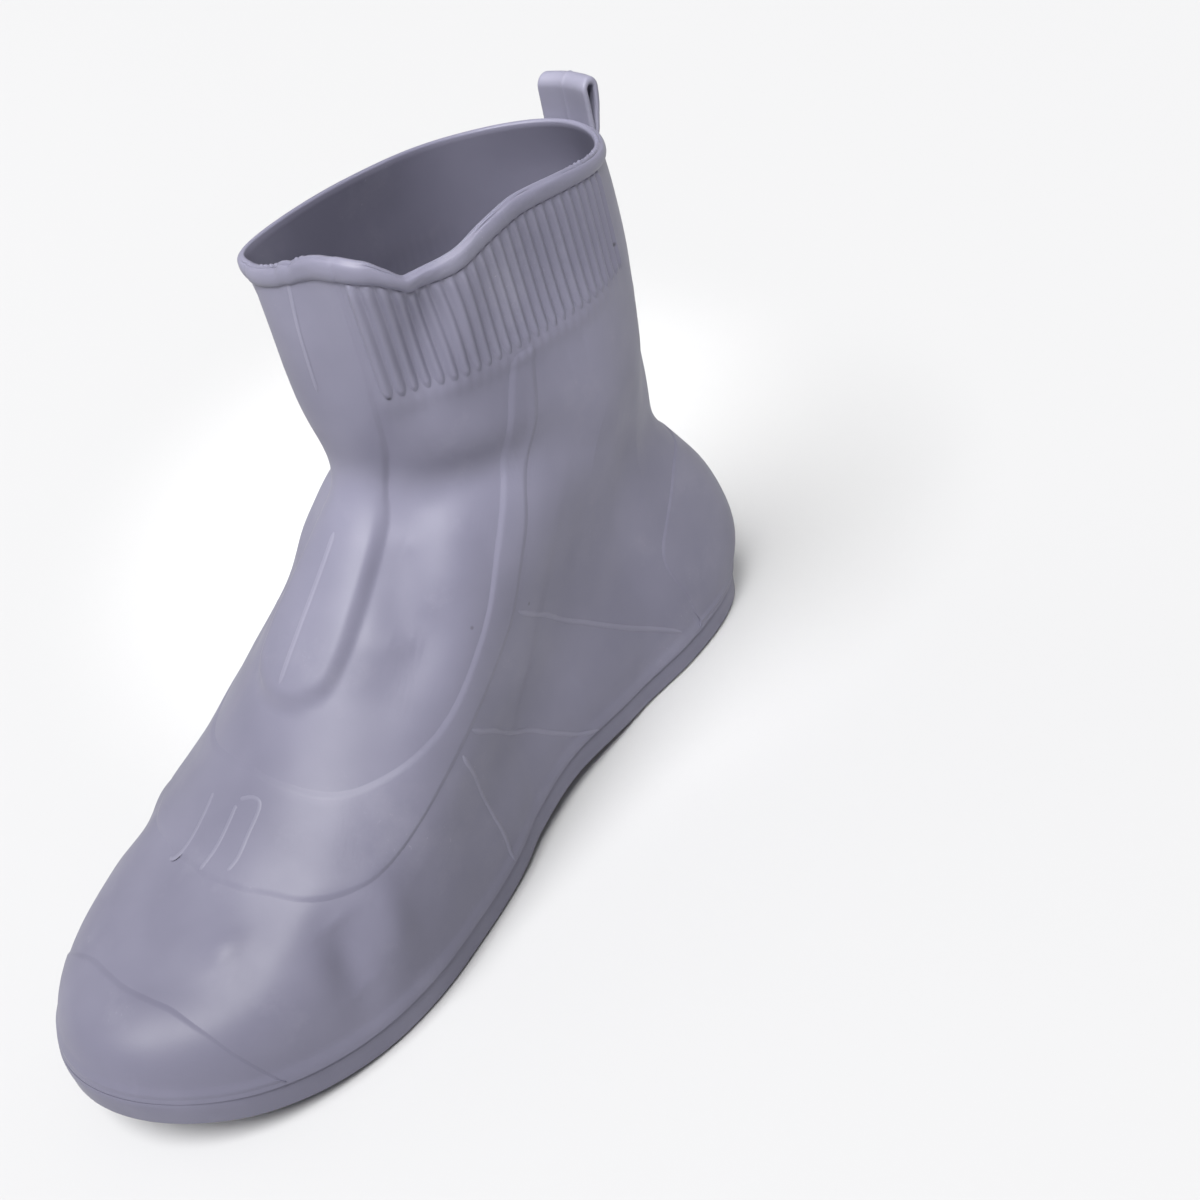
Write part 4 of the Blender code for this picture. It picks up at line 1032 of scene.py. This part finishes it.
    def _studs(self, window: Array, origin: tuple, turn: float, shift: float, radius: float,
               ray: Array) -> tuple[Array, Array, Array]:
        """Outlines of one kind of stud on its lattice, cut off at the window's edge.

        Each outline is read along rays from an inner point: the nearer of the circle and the window's edge.

        Returns:
            Stud centres (n, 2), inner points (n, 2) and the length of each ray (n, rays).
        """
        forward = np.array([-math.sin(turn), -math.cos(turn)])
        across = np.array([-math.cos(turn), math.sin(turn)])
        count = np.arange(-20, 21) + shift
        i, j = (g.ravel() for g in np.meshgrid(count, count))
        centre = np.array(origin) + (i[:, None] * forward + j[:, None] * across) * self.stud_pitch
        a, b = window, np.roll(window, -1, axis=0)
        run = b - a
        off = centre[:, None] - a[None]
        q = np.clip((off * run).sum(-1) / np.maximum((run ** 2).sum(-1), 1e-18), 0, 1)
        foot = a + q[..., None] * run
        away = np.linalg.norm(centre[:, None] - foot, axis=-1)
        nearest = foot[np.arange(len(centre)), away.argmin(1)]
        rise = np.where(np.abs(run[:, 1]) < 1e-12, 1e-12, run[:, 1])
        hit = ((a[:, 1] > centre[:, 1:]) != (b[:, 1] > centre[:, 1:])) & (
            centre[:, :1] < run[:, 0] * (centre[:, 1:] - a[:, 1]) / rise + a[:, 0])
        inside = hit.sum(1) % 2 == 1
        gap = away.min(1)
        keep = inside | (gap < 0.55 * radius)
        centre, nearest, inside, gap = centre[keep], nearest[keep], inside[keep], gap[keep]
        way = np.where(inside[:, None], centre - nearest, nearest - centre)
        way = way / np.maximum(np.linalg.norm(way, axis=1, keepdims=True), 1e-9)
        move = np.where(inside, np.clip((radius - gap) / 2, 0, None), (gap + radius) / 2)
        inner = centre + way * move[:, None]
        to = inner - centre
        dot = to @ ray.T
        circle = -dot + np.sqrt(np.clip(dot ** 2 + radius ** 2 - (to ** 2).sum(1)[:, None], 0, None))
        cross = crossed(ray[None, :, None], run[None, None])
        cross = np.where(np.abs(cross) < 1e-12, 1e-12, cross)
        to_edge = a[None] - inner[:, None]
        t = crossed(to_edge[:, None], run[None, None]) / cross
        u = crossed(to_edge[:, None], ray[None, :, None]) / cross
        edge = np.where((t > 0) & (u >= 0) & (u <= 1), t, 1.0).min(2)
        return centre, inner, np.minimum(circle, edge)

    def build_studs(self, name: str, shift: float, radius: float, grooved: bool) -> bpy.types.Object:
        """One mesh of all studs of a kind: a low drum, with a ring groove and three spokes on the big ones.

        Args:
            name: the piece's name. shift: lattice shift in pitches. radius: of the stud. grooved: whether it
            has the ring groove and the spokes.
        Returns:
            The object.
        """
        share = np.array([0.0, 0.30, 0.35, 0.41, 0.46, 0.70, 0.93, 1.0, 1.0, 0.0] if grooved
                         else [0.0, 0.55, 0.90, 1.0, 1.0, 0.0])
        sink = np.array([0, 0, 0.7, 0.7, 0, 0, 0, 0.25, 2.7, 2.7] if grooved
                        else [0.1, 0.1, 0.1, 0.4, 2.7, 2.7]) / 1000
        near = np.radians([-7.0, -4.2, 4.2, 7.0]) if grooved else np.array([0.0])
        rest = np.linspace(near[-1], 2 * math.pi / 3 + near[0], 9 if grooved else 5)[1:-1]
        sector = np.concatenate([near, rest])
        angle = (sector[None] + np.arange(3)[:, None] * 2 * math.pi / 3 + 0.5).ravel()
        steps = len(angle)
        ray = np.stack([np.cos(angle), np.sin(angle)], -1)
        points, faces, start = [], [], 0
        for front, origin, turn in ((True, self.forefoot_origin, self.lattice_turn),
                                    (False, self.heel_origin, 0.0)):
            centre, inner, reach = self._studs(self._window(front), origin, turn, shift, radius, ray)
            flat = inner[:, None, None] + ray[None, None] * (reach[:, None] * share[None, :, None])[..., None]
            up = np.broadcast_to(sink[None, :, None], flat.shape[:3]).copy()
            if grooved:
                spoke = np.isin(np.arange(steps) % len(sector), (1, 2))
                outer = (share > 0.44) & (share < 0.99)
                up[:, outer[:, None] & spoke[None]] = 0.0007
            z = floor_line(flat[..., 1]) + up
            own = np.concatenate([flat, z[..., None]], -1)
            points.append(own.reshape(-1, 3))
            quads = grid_faces(len(share), steps, False, True)
            every = np.arange(len(centre))[:, None, None] * len(share) * steps
            faces.append((quads[None] + every).reshape(-1, 4) + start)
            start += own.shape[0] * len(share) * steps
        item = make_mesh(name, np.concatenate(points) + self.shift, np.concatenate(faces).tolist(), sharp=35.0)
        self.pieces.append(item)
        return item

    def build(self) -> None:
        """Builds the sole's pieces."""
        self.build_body()
        self.build_studs("tread_studs", 0.0, self.stud_radius, True)
        self.build_studs("tread_studs_small", 0.5, self.small_radius, False)

    def dress(self, finish: RubberFinish) -> None:
        """Dresses the sole in its rubber."""
        material = finish.material()
        for item in self.pieces:
            dress(item, material)


@dataclass
class PullLoop:
    """The flat band folded into a loop behind the collar."""

    form: UpperForm
    width: float = 0.020
    rise: float = 0.0128
    seat: float = 0.013
    depth: float = 0.0072
    band: float = 0.0024
    piece: Optional[bpy.types.Object] = None

    def _wall(self, x: Array, z: Array) -> Array:
        """How far back the wall's outer face lies: read from the form's own back, by x and height."""
        xs, zs = np.linspace(0, 0.0125, 14), np.linspace(0.165, 0.186, 18)
        around = np.linspace(0.70, 1.0, 61)
        level = np.linspace(TOP - 2.4, TOP, 40)
        a, v = np.meshgrid(around, level)
        face = self.form.at(a, v, self.form.bead(v))
        face[..., 0] -= self.form.shift[0]
        table = np.zeros((len(xs), len(zs)))
        for i, own in enumerate(xs):
            back = np.array([np.interp(own, row[::-1, 0], row[::-1, 1]) for row in face])
            high = np.array([np.interp(own, row[::-1, 0], row[::-1, 2]) for row in face])
            table[i] = np.interp(zs, high, back)
        i = np.clip(np.abs(x) / xs[-1] * (len(xs) - 1), 0, len(xs) - 1 - 1e-6)
        j = np.clip((z - zs[0]) / (zs[-1] - zs[0]) * (len(zs) - 1), 0, len(zs) - 1 - 1e-6)
        return between(table, i, j)

    def build(self) -> None:
        """Carries the band's rounded section along the fold: up the wall, over in a half circle, down again."""
        half, middle, crown = self.band / 2, self.depth / 2, self.rise - self.depth / 2
        arc = np.linspace(0, math.pi, 22)
        line = [(half, -self.seat * q) for q in np.linspace(1, 0, 9)]
        line += [(half, crown * q) for q in (0.3, 0.6, 0.85)]
        line += [(middle - (middle - half) * math.cos(q), crown + (middle - half) * math.sin(q)) for q in arc]
        line += [(self.depth * 0.97 - half, crown * 0.75), (self.depth * 0.9 - half, crown * 0.45),
                 (self.depth * 0.72 - half, 0.0), (self.band * 1.45, -self.seat * 0.22),
                 (self.band * 0.98, -self.seat * 0.42), (half + 0.0006, -self.seat * 0.62),
                 (half + 0.0003, -self.seat * 0.97)]
        line = np.array(line)
        run = unit(np.gradient(line, axis=0))
        normal = np.stack([-run[:, 1], run[:, 0]], -1)
        turn = np.linspace(-math.pi / 2, math.pi / 2, 9)
        flat = np.array([0.60, 0.15, 0.07, 0.03, 0.0, -0.03, -0.07, -0.30, -0.70]) * self.width / 2 - 0.0007
        seam = 0.00022 * np.exp(-((flat + 0.0007) / 0.0004) ** 2)
        cap = self.width / 2 - half
        across = np.concatenate([cap + half * np.cos(turn), flat, -cap - half * np.cos(turn), flat[::-1]])
        thick = np.concatenate([half * np.sin(turn), half + seam, half * np.sin(turn[::-1]),
                                -half - seam[::-1]])
        waist = 1 - 0.05 * np.sin(np.linspace(0, math.pi, len(line))) ** 2
        x = across[None] * waist[:, None]
        out = line[:, :1] + normal[:, :1] * thick[None]
        up = line[:, 1:] + normal[:, 1:] * thick[None]
        z = SIZES.collar_back_height + up
        y = self._wall(x, np.minimum(z, SIZES.collar_back_height - 0.0023)) + SIZES.seam_gap + out
        points = np.stack([x + self.form.shift[0], y, z], -1)
        faces = tube_faces(len(line), len(across))
        self.piece = make_mesh("pull_loop_band", points.reshape(-1, 3), faces, sharp=50.0)
        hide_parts("pull_loop")

    def dress(self, finish: RubberFinish) -> None:
        """Dresses the loop in the finish it is given: a copy of the upper's rubber, painted paler as painted
        light.
        """
        dress(self.piece, finish.material())


def standing(right: Array, up: Array, back: Array, place: Array) -> Matrix:
    """The matrix that stands something at a place with these axes."""
    matrix = np.eye(4)
    matrix[:3, :3] = np.stack([right, up, back], -1)
    matrix[:3, 3] = place
    return Matrix(matrix.tolist())


@dataclass(frozen=True)
class PhotoCamera:
    """The photograph's viewpoint, in millimetres and degrees, with the camera set aside from its target."""

    azimuth: float = 47.2
    elevation: float = 38.1
    roll: float = -14.3
    distance: float = 522.9
    across: float = -70.3
    up: float = -2.5
    focal_pixels: float = 1732.7
    target: tuple[float, float, float] = (4.59, -6.72, 90.0)

    def build(self) -> bpy.types.Object:
        """Makes the camera: it looks at the target from the distance, turned, raised, rolled and set aside.

        Returns:
            The camera.
        """
        az, el, roll = (math.radians(v) for v in (self.azimuth, self.elevation, self.roll))
        right = np.array([math.cos(az), math.sin(az), 0.0])
        up = np.array([-math.sin(az) * math.sin(el), math.cos(az) * math.sin(el), math.cos(el)])
        back = np.array([math.sin(az) * math.cos(el), -math.cos(az) * math.cos(el), math.sin(el)])
        rolled = right * math.cos(roll) + up * math.sin(roll)
        upright = -right * math.sin(roll) + up * math.cos(roll)
        place = np.array(self.target) + self.distance * back - self.across * rolled - self.up * upright
        data = bpy.data.cameras.new("photo_camera")
        data.sensor_width = 36.0
        data.lens = self.focal_pixels / 1200 * data.sensor_width
        data.clip_start, data.clip_end = 0.01, 50.0
        camera = bpy.data.objects.new("photo_camera", data)
        bpy.context.scene.collection.objects.link(camera)
        camera.matrix_world = standing(rolled, upright, back, place / 1000)
        bpy.context.scene.camera = camera
        return camera


class LampKind(Enum):
    """Kinds of lamp; the value is Blender's own name."""

    AREA = "AREA"
    SUN = "SUN"
    SPOT = "SPOT"


@dataclass(frozen=True)
class SoftLight:
    """A lamp aimed at a point. Size is the edge of an area, or the angle in degrees of a sun or a spot."""

    name: str
    kind: LampKind
    place: tuple[float, float, float]
    aim: tuple[float, float, float]
    size: float
    power: float

    def build(self) -> bpy.types.Object:
        """Makes the lamp and turns it towards its aim."""
        data = bpy.data.lights.new(self.name, self.kind.value)
        data.energy = self.power
        if self.kind is LampKind.AREA:
            data.size = self.size
        elif self.kind is LampKind.SUN:
            data.angle = math.radians(self.size)
        else:
            data.spot_size, data.spot_blend, data.shadow_soft_size = math.radians(self.size), 1.0, 0.12
        item = bpy.data.objects.new(self.name, data)
        bpy.context.scene.collection.objects.link(item)
        back = unit(np.array(self.place) - self.aim)
        right = unit(np.cross((0, 0, 1), back))
        item.matrix_world = standing(right, np.cross(back, right), back, self.place)
        return item


@dataclass
class Studio:
    """A plain pale floor, soft lamps and a bright even surround."""

    lamps: tuple[SoftLight, ...] = (
        SoftLight("key", LampKind.SUN, (0.12, -0.56, 1.22), (0.0, 0.0, 0.0), 40.0, 4.4),
        SoftLight("left_fill", LampKind.AREA, (-1.20, -0.50, 0.75), (0.0, 0.0, 0.08), 0.80, 1.2),
        SoftLight("inside", LampKind.SPOT, (0.42, -0.22, 1.00), (-0.022, 0.075, 0.150), 8.0, 140.0),
    )
    surround: float = 0.23
    floor_reach: float = 8.0
    floor_level: float = -2e-4
    floor_colour: tuple[float, float, float, float] = (0.61, 0.61, 0.615, 1)

    def build(self) -> None:
        """Builds the floor, the lamps, the surround and the camera."""
        corners = np.array([(-1, -1), (1, -1), (1, 1), (-1, 1)]) * self.floor_reach
        floor = make_mesh("floor", np.column_stack([corners, np.full(4, self.floor_level)]), [(0, 1, 2, 3)])
        pale = bpy.data.materials.new("pale floor")
        pale.use_nodes = True
        shader = pale.node_tree.nodes["Principled BSDF"]
        for socket, value in (("Base Color", self.floor_colour), ("Roughness", 0.9),
                              ("Specular IOR Level", 0.1)):
            shader.inputs[socket].default_value = value
        floor.data.materials.append(pale)
        world = bpy.data.worlds.new("studio")
        world.use_nodes = True
        light = world.node_tree.nodes["Background"].inputs
        light["Color"].default_value, light["Strength"].default_value = (1.0, 1.0, 1.0, 1), self.surround
        bpy.context.scene.world = world
        for lamp in self.lamps:
            lamp.build()
        PhotoCamera().build()
        bpy.context.scene.view_settings.view_transform = "Standard"


def main() -> None:
    """Builds and dresses the shoe, then the studio."""
    logging.basicConfig(level=logging.INFO, format="%(name)s: %(message)s")
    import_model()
    loop_low, loop_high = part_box("pull_loop")
    sole_low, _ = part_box("outsole")
    shift = np.array([(loop_low.x + loop_high.x) / 2, sole_low.y, 0.0])
    form = UpperForm(shift)
    form.add_soft_forms(CREASES)
    upper = Upper(form)
    upper.build()
    specks = tuple(tuple(form.at(np.array(a), np.array(v), 0.0005).tolist()) for a, v in SPECKS)
    # The fine raised lines get a paler copy of the rubber: a painted highlight where light would catch them.
    upper.dress(RubberFinish("upper rubber", specks=specks),
                RubberFinish("lines with painted highlight", colour=(0.232, 0.227, 0.298), shade=(0.196, 0.192, 0.256)))
    sole = Outsole(shift)
    sole.build()
    sole.dress(RubberFinish("sole rubber", roughness=0.48, dust_amount=0.7, grain=0.14))
    loop = PullLoop(form)
    loop.build()
    # The loop's paler colour is painted light: the same rubber as the upper, made brighter than its own colour.
    loop.dress(RubberFinish("loop rubber with painted light", colour=(0.260, 0.255, 0.330), shade=(0.225, 0.220, 0.290)))
    for item in (*upper.pieces, *upper.lines, *sole.pieces, loop.piece):
        LOG.info("%s: %d triangles", item.name, sum(len(p.vertices) - 2 for p in item.data.polygons))
    Studio().build()
    bpy.context.view_layer.update()


if __name__ == "__main__":
    main()
